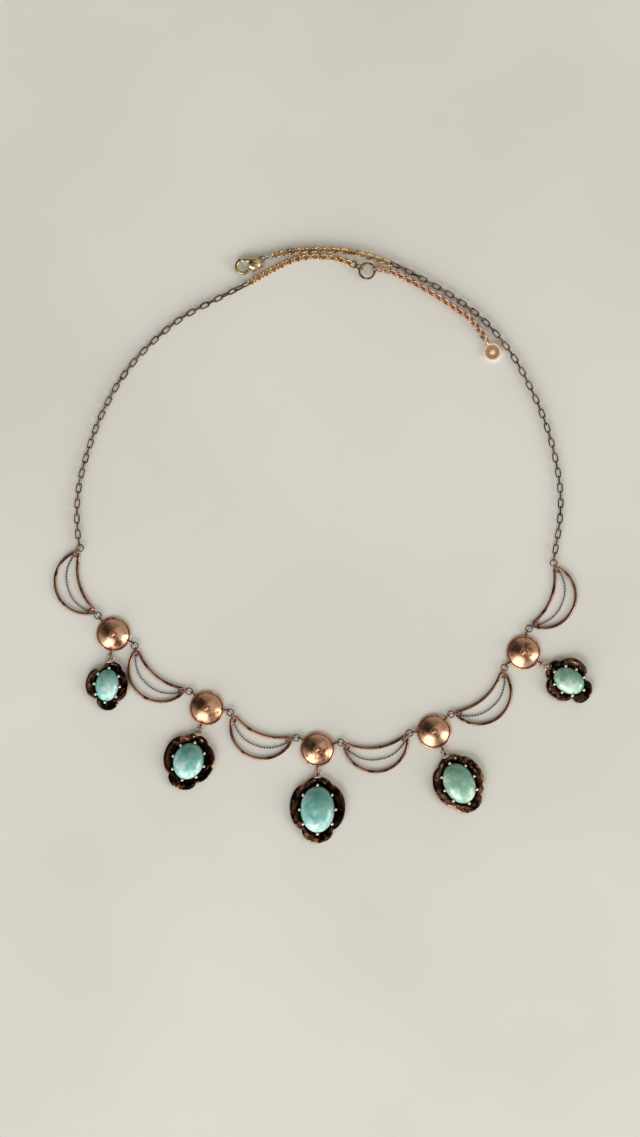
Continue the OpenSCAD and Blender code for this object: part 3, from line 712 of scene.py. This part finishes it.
@dataclass
class Setting:
    """A cast drop: four dished petals round a collet, eight claws and a top eye.

    A point of under_foot or under_lip has its share of the way out over a petal, and its height
    or its depth below the petal's edge. A point of collet_edge has its steps in and down from
    the collet's outer wall and top. A point of claw_line has its step out from the claw's
    circle, its depth below the claw's top, and the claw's width there as a share.

    The black, painted shade of the cup round the stone on top of the bronze's black patina, is
    black_start at the collet and falls by black_fall over a petal's width. What lies beyond
    rub_start of that width is rubbed, worn and painted as a highlight, from rub_low under the
    petals' edge upwards.
    """

    number: int
    stone_w: float
    stone_l: float
    petal_w: float
    petal_l: float
    style: PetalStyle
    finish: Finish
    facets: int = 300
    trim: float = 0.03
    rim_drop: float = 0.03
    seat_gap: float = 0.06
    wall: float = 0.35
    collet_h: float = 1.5
    collet_foot_h: float = 0.9
    collet_edge: tuple[tuple[float, float], ...] = ((0.02, 0.07), (0.08, 0.0))
    bevel: float = 0.2
    ledge_h: float = 1.0
    ledge_w: float = 0.55
    rim_h: float = 1.4
    low: float = 0.72
    lift: float = 0.12
    lip: float = 0.3
    cup_start: float = 0.25
    crest: float = 0.84
    petal_end: float = 1.02
    petal_min: float = 0.25
    under_foot: tuple[tuple[float, float], ...] = ((0.1, 0.0), (0.55, 0.2))
    under_lip: tuple[tuple[float, float], ...] = ((0.93, 0.5), (1.0, 0.12))
    under_steps: int = 3
    steps: int = 18
    claws: int = 8
    claw_d: float = 0.55
    claw_gap: float = 0.1
    claw_rise: float = 1.35
    claw_line: tuple[tuple[float, float, float], ...] = (
        (0.14, 1.6, 1.15), (0.1, 0.8, 1.25), (0.04, 0.4, 1.3), (-0.04, 0.1, 1.1))
    claw_tip: tuple[float, float, float] = (0.42, 0.42, 0.34)
    claw_tip_in: float = 0.06
    claw_tip_drop: float = 0.04
    eye_r: float = 0.55
    eye_wire: float = 0.36
    eye_reach: float = 0.45
    solder_in: float = 0.12
    solder_h: float = 0.98
    solder_size: tuple[float, float, float] = (1.0, 0.42, 0.44)
    mark_min: float = 0.3
    skin: float = 0.02
    solder_skin: float = 1.04
    black_start: float = 1.1
    black_fall: float = 2.3
    rub_start: float = 0.9
    rub_low: float = 0.5
    rub_rise: float = 0.4

    @property
    def place(self) -> Place:
        """Where the drop lies: under its stone, with its top towards its jump ring.

        Returns:
            The place.
        """
        stone = middle_of(f"stone_{self.number}")
        top = heading_of(middle_of(f"drop_ring_{self.number}") - stone)
        return Place(stone.x, stone.y, top - 90)

    @property
    def solder_at(self) -> Vector:
        """Middle of the solder that holds the top eye."""
        return Vector((0, self.petal_r(math.pi / 2) - self.solder_in, self.solder_h))

    def stone_r(self, a: float) -> float:
        """Gives the stone's radius in the direction a, in radians."""
        return 0.5 / math.hypot(math.cos(a) / self.stone_w, math.sin(a) / self.stone_l)

    def petal_r(self, a: float) -> float:
        """Gives the radius of the outermost petal.

        Args:
            a: direction in radians.
        Returns:
            How far the line in that direction runs until it leaves the last petal.
        """
        best = 0.0
        half_w, half_l = self.petal_w / 2 - self.trim, self.petal_l / 2 - self.trim
        for (cx, cy), (hx, hy) in self.style.value:
            dx, dy = math.cos(a) / (hx * half_w), math.sin(a) / (hy * half_l)
            mx, my = cx / hx, cy / hy
            dd, dm = dx * dx + dy * dy, dx * mx + dy * my
            inside = dm * dm - dd * (mx * mx + my * my - 1)
            if inside >= 0:
                best = max(best, (dm + math.sqrt(inside)) / dd)
        return best

    def petal_height(self, r: float, a: float) -> float:
        """Gives the height of the topmost petal at a point.

        Args:
            r: distance from the drop's middle.
            a: direction in radians.
        Returns:
            The height, highest a little inside a petal's edge and low at the foot of the collet.
        """
        best = 0.0
        for k, ((cx, cy), (hx, hy)) in enumerate(self.style.value):
            u = (2 * r * math.cos(a) / self.petal_w - cx) / hx
            v = (2 * r * math.sin(a) / self.petal_l - cy) / hy
            share = math.hypot(u, v)
            if share > self.petal_end:
                continue
            way_up = smooth_step((share - self.cup_start) / (self.crest - self.cup_start))
            cup = self.low + (self.rim_h - self.low) * way_up
            edge = self.lip * max(0.0, (share - self.crest) / (1 - self.crest)) ** 2
            best = max(best, cup - edge + (self.lift if k < 2 else 0.0))
        return max(best, self.low)

    def section(self, a: float) -> list[tuple[float, float]]:
        """Gives the closed section in the direction a.

        Args:
            a: direction in radians.
        Returns:
            Points of radius and height, from the foot's inner edge outwards and back.
        """
        stone = self.stone_r(a)
        seat = stone + self.seat_gap
        wall = seat + self.wall
        reach = max(self.petal_r(a) - wall, self.petal_min)
        rim = self.petal_height(wall + reach, a)
        under = [(wall + share * reach, h) for share, h in self.under_foot]
        under += [(wall + share * reach, rim - drop) for share, drop in self.under_lip]
        under = curve_through(under, self.under_steps)
        over = [(wall + reach, rim - self.rim_drop)]
        over += [(r, self.petal_height(r, a))
                 for r in (wall + reach * (1 - k / self.steps) for k in range(1, self.steps))]
        edge = [(wall - step, self.collet_h - drop) for step, drop in self.collet_edge]
        seat_line = [(seat, self.collet_h - self.bevel), (seat, self.ledge_h),
                     (stone - self.ledge_w, self.ledge_h), (stone - self.ledge_w, 0.0)]
        return under + over + [(wall, self.collet_foot_h)] + edge + seat_line

    def dress(self) -> bpy.types.Object:
        """Builds the setting and puts it in its solid's place.

        Returns:
            The setting's object.
        """
        sheet = Sheet()
        sheet.spin(self.section, self.facets)
        self.add_claws(sheet)
        eye = Vector((0, self.petal_r(math.pi / 2) + self.eye_reach, self.eye_r + self.eye_wire / 2))
        stand = Matrix.Translation(eye) @ turned(90, "Z") @ turned(90, "X")
        sheet.ring(stand, self.eye_r, self.eye_wire)
        sheet.ball(self.solder_at, Vector(self.solder_size), steps=24)
        made = sheet.solid(f"cast_setting_{self.number}", self.place.matrix(), self.finish)
        self.blacken(made)
        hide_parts(f"setting_{self.number}")
        return made

    def marks(self, p: Vector) -> tuple[float, float, bool]:
        """Tells how worn a point is, and how much painted shade and painted highlight it gets.

        Args:
            p: the point in the setting's own frame, in millimetres.
        Returns:
            How black it is with patina and painted shade, most at the foot of the collet, how rubbed
            it is, worn and painted as a highlight, only on the petals' edges, and whether it is on a
            claw's tip or the solder, which get a pale painted highlight.
        """
        a = math.atan2(p.y, p.x)
        wall = self.stone_r(a) + self.seat_gap + self.wall
        out = math.hypot(p.x, p.y) - wall
        share = out / max(self.petal_r(a) - wall, self.mark_min)
        claw = p.z > self.collet_h + self.skin and out < self.wall
        solder = math.hypot(*(step / size for step, size in zip(p - self.solder_at, self.solder_size)))
        # Claws and solder get the pale finish, a painted highlight
        bright = claw or solder < self.solder_skin
        # Painted shade of the cup round the stone, with the black patina, deepest at the collet
        black = 0.0 if bright else min(max(self.black_start - self.black_fall * share, 0.0), 1.0)
        # Rubbed rims: worn bronze, painted lighter as a highlight too
        rubbed = (smooth_step((share - self.rub_start) / (1 - self.rub_start))
                  * smooth_step((p.z - self.rim_h + self.rub_low) / self.rub_rise))
        return black, rubbed, bright

    def blacken(self, made: bpy.types.Object) -> None:
        """Marks how black, with patina and painted shade, and how rubbed, with painted highlights, each point
        is, and makes the claws and solder bright with a painted highlight.

        Args:
            made: the setting's object.
        """
        made.data.materials.append(Finish.TIP.material())
        back = self.place.matrix().inverted()
        patina_and_shade, rubs_and_highlights, tips = zip(*(self.marks((back @ vertex.co) / MM) for vertex in made.data.vertices))
        for name, values in (("collet_shade_and_patina", patina_and_shade), ("rubbed", rubs_and_highlights)):
            made.data.attributes.new(name, "FLOAT", "POINT").data.foreach_set("value", values)
        for face in made.data.polygons:
            # Faces of the claws and solder take the pale finish, a painted highlight
            face.material_index = int(all(tips[v] for v in face.vertices))

    def add_claws(self, sheet: Sheet) -> None:
        """Adds the claws, each leaning onto the stone with a rounded tip.

        Args:
            sheet: where they go.
        """
        top = self.ledge_h + self.claw_rise
        for a in round_circle(self.claws):
            out = Vector((math.cos(a), math.sin(a), 0))
            r = self.stone_r(a) + self.claw_gap + self.claw_d / 2
            sheet.tube([out * (r + step) + up(top - drop) for step, drop, _ in self.claw_line],
                       [self.claw_d / 2 * share for _, _, share in self.claw_line])
            tip = out * (r - self.claw_tip_in) + up(top - self.claw_tip_drop)
            sheet.ball(tip, Vector(self.claw_tip), steps=20)


@dataclass
class Disc:
    """A stamped disc: a low cone with a rolled edge, a ball in its dimple and three soldered eyes.

    The rolled edge runs from roll_from to roll_to, in degrees of its own round section.
    """

    number: int
    left_eye: float
    right_eye: float
    drop_eye: float
    rim_r: float = 4.85
    roll_r: float = 0.31
    foot_r: float = 4.36
    dimple_r: float = 0.95
    dimple_depth: float = 0.3
    crown_h: float = 2.5
    foot_h: float = 0.5
    top_slope: float = 0.3
    wall: float = 0.45
    slant_wall: float = 1.15
    middle_r: float = 0.01
    skin: float = 0.02
    roll_from: int = 105
    roll_to: int = -105
    roll_step: int = -15
    ball_r: float = 0.55
    ball_h: float = 2.6
    frame_reach: float = 1.05
    drop_reach: float = 0.75
    drop_ring_r: float = 0.8
    eye_r: float = 0.55
    eye_wire: float = 0.36
    neck_in: float = 0.6
    neck_d: float = 0.5
    neck_h: float = 0.45
    facets: int = 128
    dimple_steps: int = 6
    slope_steps: int = 20
    under_steps: int = 12

    @property
    def place(self) -> Place:
        """Where the disc lies: above the jump ring that its drop eye holds.

        Returns:
            The place.
        """
        out = polar(self.rim_r + self.drop_reach + self.drop_ring_r, self.drop_eye)
        middle = middle_of(f"drop_ring_{self.number}") - out
        return Place(middle.x, middle.y, 0)

    def eye_at(self, heading: float) -> Vector:
        """Gives the middle of the crescent's eye at a heading, seen from above."""
        return Vector((self.place.x, self.place.y)) + polar(self.rim_r + self.frame_reach, heading)

    def height(self, r: float) -> float:
        """Gives the height of the upper side.

        Args:
            r: distance from the disc's middle.
        Returns:
            The height: a bowl in the dimple, and a cone that gets steeper beyond it.
        """
        if r < self.dimple_r:
            return self.crown_h - self.dimple_depth * (1 - (r / self.dimple_r) ** 2)
        run, whole = r - self.dimple_r, self.foot_r - self.dimple_r
        bend = (self.crown_h - self.foot_h - self.top_slope * whole) / whole ** 2
        return self.crown_h - self.top_slope * run - bend * run * run

    def section(self, _: float) -> list[tuple[float, float]]:
        """Gives the closed section, which is the same in every direction.

        Returns:
            Points of radius and height, from the middle out over the rolled edge and back.
        """
        step = self.dimple_r / self.dimple_steps
        over = [(self.middle_r + k * step, self.height(k * step)) for k in range(self.dimple_steps)]
        over += [(float(r), self.height(float(r)))
                 for r in np.linspace(self.dimple_r + self.skin, self.foot_r, self.slope_steps)]
        roll_middle = self.rim_r - self.roll_r
        rolled = [(roll_middle + self.roll_r * math.cos(a), self.roll_r * (1 + math.sin(a)))
                  for a in map(math.radians, range(self.roll_from, self.roll_to - 1, self.roll_step))]
        under = [(float(r), max(self.height(float(r)) - self.wall * self.slant_wall, self.skin))
                 for r in np.linspace(self.foot_r - self.wall, self.middle_r, self.under_steps)]
        return over + rolled + under

    def add_eye(self, sheet: Sheet, heading: float, reach: float, facing: float) -> None:
        """Adds an upright eye on its neck.

        Args:
            sheet: where it goes.
            heading: where it sits on the rim, in degrees.
            reach: how far its middle stands out from the rim.
            facing: direction of its plane, in degrees.
        """
        way = sky(heading, 0)
        stand = (Matrix.Translation(way * (self.rim_r + reach) + up(self.eye_r + self.eye_wire / 2))
                 @ turned(facing, "Z") @ turned(90, "X"))
        sheet.ring(stand, self.eye_r, self.eye_wire)
        ends = (self.rim_r - self.neck_in, self.rim_r + reach - self.eye_r + self.eye_wire / 4)
        sheet.tube([way * end + up(self.neck_h) for end in ends], [self.neck_d / 2] * 2)

    def towards(self, heading: float, ring: str) -> float:
        """Gives the direction in degrees from the eye at a heading to the ring that it holds."""
        return heading_of(middle_of(ring) - self.eye_at(heading))

    def dress(self) -> bpy.types.Object:
        """Builds the disc and puts it in its solid's place.

        Returns:
            The disc's object.
        """
        sheet = Sheet()
        sheet.spin(self.section, self.facets)
        sheet.ball(up(self.ball_h), Vector((self.ball_r,) * 3), steps=28)
        for heading, ring in ((self.left_eye, 2 * self.number), (self.right_eye, 2 * self.number + 1)):
            self.add_eye(sheet, heading, self.frame_reach, self.towards(heading, f"frame_ring_{ring}"))
        self.add_eye(sheet, self.drop_eye, self.drop_reach, self.drop_eye)
        made = sheet.solid(f"spun_disc_{self.number}", self.place.matrix(), Finish.ROSE)
        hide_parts(f"disc_{self.number}")
        return made


@dataclass
class Crescent:
    """A crescent frame's solder joints, and the very fine chain that hangs in it.

    A row of links has a link's length, width, wire and roll in degrees. The rows take turns.
    """

    number: int
    left_end: Vector
    right_end: Vector
    span: float = 19.3
    tip_angle: float = 52.0
    ring_in: float = 2.2
    ring_r: float = 0.72
    depth: float = 6.3
    end_depth: float = 2.75
    end_in: float = 0.55
    power: float = 2.4
    wire_h: float = 0.4
    lift: float = 0.01
    inner_in: tuple[float, float] = (1.75, 0.86)
    line_h: float = 0.31
    end_h: float = 0.36
    end_reach: float = 0.62
    links: tuple[tuple[float, float, float, float], ...] = ((0.54, 0.5, 0.16, -4), (0.77, 0.4, 0.1, 88))
    look_along: float = 0.3
    tip_solder: float = 0.34
    wire_solder: float = 0.43
    steps: int = 400

    @property
    def place(self) -> Place:
        """Where the crescent lies: midway between its two ends, in line with them."""
        middle = (self.left_end + self.right_end) / 2
        return Place(middle.x, middle.y, heading_of(self.right_end - self.left_end))

    def ring_at(self, side: int) -> Vector:
        """Gives the middle of the small ring at one tip, -1 for the left one."""
        step = polar(self.ring_in, self.tip_angle)
        return Vector((side * (self.span / 2 - step.x), -step.y, self.wire_h))

    def hanging_line(self) -> list[Vector]:
        """Works out how the fine chain hangs.

        Returns:
            Many points along it, from ring to ring.
        """
        half = self.ring_at(1).x - self.end_in
        line = []
        for k in range(self.steps + 1):
            t = -1 + 2 * k / self.steps
            y = -self.depth + (self.depth - self.end_depth) * abs(t) ** self.power
            line.append(Vector((half * t, y, self.line_h)))
        ends = []
        for side, near in ((-1, line[0]), (1, line[-1])):
            end = self.ring_at(side) + (near - self.ring_at(side)).normalized() * self.end_reach
            ends.append(Vector((end.x, end.y, self.end_h)))
        return [ends[0], *line, ends[1]]

    def dress_chain(self) -> bpy.types.Object:
        """Builds the fine chain and puts it in its solid's place.

        Returns:
            The chain's object.
        """
        line = np.array([tuple(p) for p in self.hanging_line()])
        runs = np.concatenate(([0.0], np.cumsum(np.linalg.norm(np.diff(line, axis=0), axis=1))))
        whole = float(runs[-1])
        wanted = sum(length / 2 - wire for length, _, wire, _ in self.links)
        count = round(whole / wanted)

        def spot(s: float) -> Vector:
            """Gives the point at a running length, which is kept within the chain."""
            return Vector([float(np.interp(s, runs, line[:, axis])) for axis in range(3)])

        sheet = Sheet()
        for k in range(count + 1):
            s = whole * k / count
            length, width, wire, roll = self.links[k % 2]
            turn = heading_of(spot(s + self.look_along) - spot(s - self.look_along))
            stand = Matrix.Translation(spot(s)) @ turned(turn, "Z") @ turned(roll, "X")
            sheet.ring(stand, (width - wire) / 2, wire, steps=14, sides=6, stretch=length - width)
        made = sheet.solid(f"fine_chain_{self.number}", self.place.matrix(), Finish.DARK_WIRE)
        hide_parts(f"swag_{self.number}")
        return made

    def dress_solder(self) -> bpy.types.Object:
        """Builds the solder where the two wires, the small ring and the eye meet at each tip.

        Returns:
            The solder's object.
        """
        sheet = Sheet()
        for side in (-1, 1):
            ring = self.ring_at(side)
            a = math.radians(self.tip_angle)
            tip = ring + self.end_reach * Vector((side * math.cos(a), math.sin(a), 0))
            outer = ring + self.ring_r * Vector((side * math.sin(a), -math.cos(a), 0))
            inner = Vector((side * (self.span / 2 - self.inner_in[0]), -self.inner_in[1], self.wire_h))
            for middle, r in ((tip, self.tip_solder), (outer, self.wire_solder), (inner, self.wire_solder)):
                sheet.ball(middle, Vector((r, r, min(r, self.wire_h - self.lift))))
        made = sheet.solid(f"solder_{self.number}", self.place.matrix(), Finish.FRAME)
        return made


@dataclass
class Clasp:
    """The rounded lever of the lobster clasp, and the bead round its tail."""

    heading: float = 199.0
    middle_h: float = 1.0
    pivot: tuple[float, float] = (2.3, 1.2)
    hub_r: float = 0.6
    hub_hole_r: float = 0.35
    lever_h: float = 0.6
    gate_end: tuple[float, float] = (4.28, 1.93)
    gate_w: float = 0.76
    web_end: tuple[float, float] = (2.3, 2.6)
    web_w: float = 0.74
    thumb: tuple[tuple[float, float], ...] = ((0.3, 2.2), (1.85, 2.5), (3.4, 2.75))
    thumb_w: float = 0.86
    tail_r: float = 1.0
    tail_hole_r: float = 0.52
    bead_h: float = 0.84
    gap: float = 0.1
    end_steps: int = 6
    hub_facets: int = 32
    bead_steps: int = 40

    @property
    def place(self) -> Place:
        """Where the clasp lies: its frame starts at the tail's hole, and its pin is at the pivot.

        Returns:
            The place.
        """
        pivot = Vector(self.pivot)
        tail = middle_of("clasp_pin") - polar(pivot.length, self.heading + heading_of(pivot))
        return Place(tail.x, tail.y, self.heading)

    def at(self, spot: tuple[float, float]) -> Vector:
        """Puts a spot at the height of the clasp's middle."""
        return Vector((*spot, self.middle_h))

    def add_bar(self, sheet: Sheet, spots: tuple[tuple[float, float], ...], width: float) -> None:
        """Adds a bar with rounded edges and round ends.

        Args:
            sheet: where it goes.
            spots: points of its middle line.
            width: its width.
        """
        path = [self.at(spot) for spot in spots]
        turns = [math.pi / 2 * k / self.end_steps for k in range(1, self.end_steps + 1)]
        ends = []
        for end, inside in ((path[0], path[1]), (path[-1], path[-2])):
            way = (end - inside).normalized()
            ends.append([end + way * (width / 2 * math.cos(turn)) for turn in turns])
        swell = [width / 2 * math.sin(turn) for turn in turns]
        sheet.tube(ends[0] + path[1:-1] + ends[1][::-1],
                   swell + [width / 2] * (len(path) - 2) + swell[::-1], sides=20,
                   flat=self.lever_h / width)

    def dress_lever(self) -> bpy.types.Object:
        """Builds the lever and puts it in its solid's place, so that it turns with it.

        Returns:
            The lever's object.
        """
        sheet = Sheet()
        self.add_bar(sheet, self.thumb, self.thumb_w)
        hub = self.at(self.pivot)
        for end, width in ((self.gate_end, self.gate_w), (self.web_end, self.web_w)):
            start = hub + (self.at(end) - hub).normalized() * (self.hub_r - self.gap)
            self.add_bar(sheet, (tuple(start.xy), end), width)
        half = self.lever_h / 2
        rim = [(self.hub_hole_r, -half), (self.hub_r, -half), (self.hub_r, half), (self.hub_hole_r, half)]
        sheet.spin(lambda _: rim, self.hub_facets, hub)
        made = sheet.solid("rounded_clasp_lever", self.place.matrix(), Finish.PINK, "lever")
        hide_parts("clasp_lever")
        return made

    def dress_tail(self) -> bpy.types.Object:
        """Builds the bead that rounds off the tail's flat eye.

        Returns:
            The bead's object.
        """
        sheet = Sheet()
        wire = self.tail_r - self.tail_hole_r
        r = self.tail_r - wire / 2
        path = [self.at((math.cos(a) * r, math.sin(a) * r)) for a in round_circle(self.bead_steps)]
        sheet.tube(path, [wire / 2] * len(path), sides=16, loop=True, flat=self.bead_h / wire)
        made = sheet.solid("clasp_tail_bead", self.place.matrix(), Finish.PALE_GOLD)
        return made


@dataclass
class KeptSolids:
    """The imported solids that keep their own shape, with the finish that each one gets."""

    by_prefix: dict[str, Finish] = field(default_factory=lambda: {
        "disc": Finish.ROSE, "festoon": Finish.FRAME, "frame_ring": Finish.COPPER,
        "drop_ring": Finish.ROSE, "trace": Finish.COPPER, "belcher": Finish.YELLOW,
        "extender": Finish.ROSE, "small_ring": Finish.WORN_YELLOW, "middle_ring": Finish.WORN_YELLOW,
        "tag_ring": Finish.ROSE, "end_tag": Finish.SATIN_ROSE, "clasp_ring": Finish.PALE,
        "clasp": Finish.PALE_GOLD, "stone": Finish.STONE, "setting": Finish.BRONZE,
        "swag": Finish.COPPER})
    green_stones: tuple[str, ...] = ("stone_4", "stone_5")

    def finish_of(self, name: str) -> Finish:
        """Finds the finish of a solid.

        Args:
            name: the solid's name.
        Returns:
            The finish for the longest start of its name that is listed.
        """
        if name in self.green_stones:
            return Finish.GREEN_STONE
        starts = [p for p in self.by_prefix if name.startswith(p)]
        return self.by_prefix[max(starts, key=len)]

    def dress(self) -> int:
        """Gives every solid its finish and smooth shading.

        Returns:
            How many were dressed.
        """
        for name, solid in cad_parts.items():
            solid.data.materials.clear()
            solid.data.materials.append(self.finish_of(name).material())
            smooth(solid, KEPT_CREASE)
        return len(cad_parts)


@dataclass
class Window:
    """A soft panel of daylight."""

    name: str
    azimuth: float
    elevation: float
    distance: float
    width: float
    height: float
    watts: float
    colour: str

    def hang(self, aim: Vector) -> None:
        """Hangs the panel so that it faces a point.

        Args:
            aim: the point, in metres.
        """
        lamp = bpy.data.lights.new(self.name, "AREA")
        lamp.shape = "RECTANGLE"
        lamp.size, lamp.size_y = self.width, self.height
        lamp.energy = self.watts
        lamp.color = srgb(self.colour)[:3]
        hung = bpy.data.objects.new(self.name, lamp)
        bpy.context.scene.collection.objects.link(hung)
        out = sky(self.azimuth, self.elevation)
        hung.location = aim + out * self.distance
        hung.rotation_euler = (-out).to_track_quat("-Z", "Y").to_euler()


@dataclass
class Studio:
    """The pale surface, the light and the camera straight above."""

    middle: tuple[float, float] = (-0.8, -6.6)
    view_height_mm: float = 318.4
    distance_m: float = 1.1
    overhead: str = "#85817c"
    horizon: str = "#dededb"
    corner: str = "#3b3530"
    corner_azimuth: float = 150.0
    corner_elevation: float = 36.0
    corner_range: tuple[float, float] = (0.72, 0.92)
    horizon_range: tuple[float, float] = (0.2, 0.6)
    room_strength: float = 0.97
    surface_m: float = 5.0
    surface_gap_mm: float = 0.02
    sensor_mm: float = 36.0
    windows: tuple[Window, ...] = (
        Window("window_left", 245, 25, 2.2, 2.1, 1.6, 45.0, "#ffffff"),
        Window("window_right", 337, 19, 2.2, 1.2, 1.0, 21.0, "#ffffff"),
        Window("pale_wall", 20, 58, 2.2, 2.6, 2.2, 11.0, "#fffdf8"))

    def lay_surface(self) -> None:
        """Lays the surface just under the necklace."""
        mesh = bpy.data.meshes.new("surface")
        half = self.surface_m
        corners = [(-half, -half, 0), (half, -half, 0), (half, half, 0), (-half, half, 0)]
        mesh.from_pydata(corners, [], [(0, 1, 2, 3)])
        mesh.materials.append(Finish.SURFACE.material())
        laid = bpy.data.objects.new("surface", mesh)
        laid.location.z = -self.surface_gap_mm * MM
        bpy.context.scene.collection.objects.link(laid)

    def light(self) -> None:
        """Hangs the windows and sets the dim light of the room."""
        aim = Vector((self.middle[0] * MM, self.middle[1] * MM, 0))
        for window in self.windows:
            window.hang(aim)
        world = bpy.data.worlds.new("room")
        world.use_nodes = True
        tree = world.node_tree
        tree.nodes.clear()
        way = add(tree, "ShaderNodeTexCoord", out="Generated")
        rise = add(tree, "ShaderNodeSeparateXYZ", {0: way}, out="Z")
        rise = add(tree, "ShaderNodeMapRange", {"Value": rise, **between(*self.horizon_range)}, **SOFT)
        low, high = srgb(self.horizon), srgb(self.overhead)
        shade = add(tree, "ShaderNodeMix", {0: rise, 6: low, 7: high}, **COLOURS)
        corner = sky(self.corner_azimuth, self.corner_elevation)
        near = add(tree, "ShaderNodeVectorMath", {0: way, 1: corner}, out="Value", operation="DOT_PRODUCT")
        near = add(tree, "ShaderNodeMapRange", {"Value": near, **between(*self.corner_range)}, **SOFT)
        shade = add(tree, "ShaderNodeMix", {0: near, 6: shade, 7: srgb(self.corner)}, **COLOURS)
        glow = add(tree, "ShaderNodeBackground", {"Color": shade, "Strength": self.room_strength})
        add(tree, "ShaderNodeOutputWorld", {"Surface": glow})
        bpy.context.scene.world = world

    def set_camera(self) -> None:
        """Puts the camera where the picture is taken from, straight above."""
        lens = bpy.data.cameras.new("camera")
        lens.sensor_fit = "VERTICAL"
        lens.sensor_height = self.sensor_mm
        lens.lens = self.sensor_mm * self.distance_m / (self.view_height_mm * MM)
        lens.clip_start, lens.clip_end = 0.01, 20.0
        held = bpy.data.objects.new("camera", lens)
        held.location = (self.middle[0] * MM, self.middle[1] * MM, self.distance_m)
        bpy.context.scene.collection.objects.link(held)
        bpy.context.scene.camera = held
        bpy.context.scene.view_settings.view_transform = "Standard"
        bpy.context.scene.view_settings.look = "None"


# Number, stone's width and length, petals' width and length, style and finish
SETTINGS = (
    Setting(1, 6.5, 9.0, 12.2, 14.2, PetalStyle.OPEN, Finish.RUBBED_BRONZE),
    Setting(2, 8.4, 10.4, 14.4, 16.6, PetalStyle.ROUND, Finish.BRONZE),
    Setting(3, 9.5, 13.0, 15.6, 19.0, PetalStyle.ROUND, Finish.BRONZE),
    Setting(4, 8.5, 11.8, 14.4, 17.6, PetalStyle.ROUND, Finish.RUBBED_BRONZE),
    Setting(5, 6.9, 9.0, 12.8, 14.8, PetalStyle.NARROW, Finish.RUBBED_BRONZE),
)
# Number, and the headings of the left, right and drop eye
DISCS = (
    Disc(1, 131, -24, -97),
    Disc(2, 133, -6, -109),
    Disc(3, 148, 19, -90),
    Disc(4, 182, 48, -64),
    Disc(5, 215, 81, -32),
)
# Where the trace chains take hold of the outermost crescents
LEFT_ANCHOR = Vector((-68.2, 0.2))
RIGHT_ANCHOR = Vector((65.1, -3.8))


def crescents() -> list[Crescent]:
    """Places the crescents between the discs and the two trace chains.

    Returns:
        The six crescents, from left to right.
    """
    ends = [LEFT_ANCHOR]
    for disc in DISCS:
        ends += [disc.eye_at(disc.left_eye), disc.eye_at(disc.right_eye)]
    ends.append(RIGHT_ANCHOR)
    return [Crescent(k + 1, ends[2 * k], ends[2 * k + 1]) for k in range(len(ends) // 2)]


def main() -> None:
    """Dresses the necklace piece by piece, then lights it and sets the camera."""
    logging.basicConfig(level=logging.INFO, format="%(name)s: %(message)s")
    LOG.info("solids dressed: %d", KeptSolids().dress())
    for setting in SETTINGS:
        LOG.info("%s", setting.dress().name)
    for disc in DISCS:
        LOG.info("%s", disc.dress().name)
    for crescent in crescents():
        LOG.info("%s and %s", crescent.dress_chain().name, crescent.dress_solder().name)
    clasp = Clasp()
    LOG.info("%s and %s", clasp.dress_lever().name, clasp.dress_tail().name)
    studio = Studio()
    studio.lay_surface()
    studio.light()
    studio.set_camera()


if __name__ == "__main__":
    main()
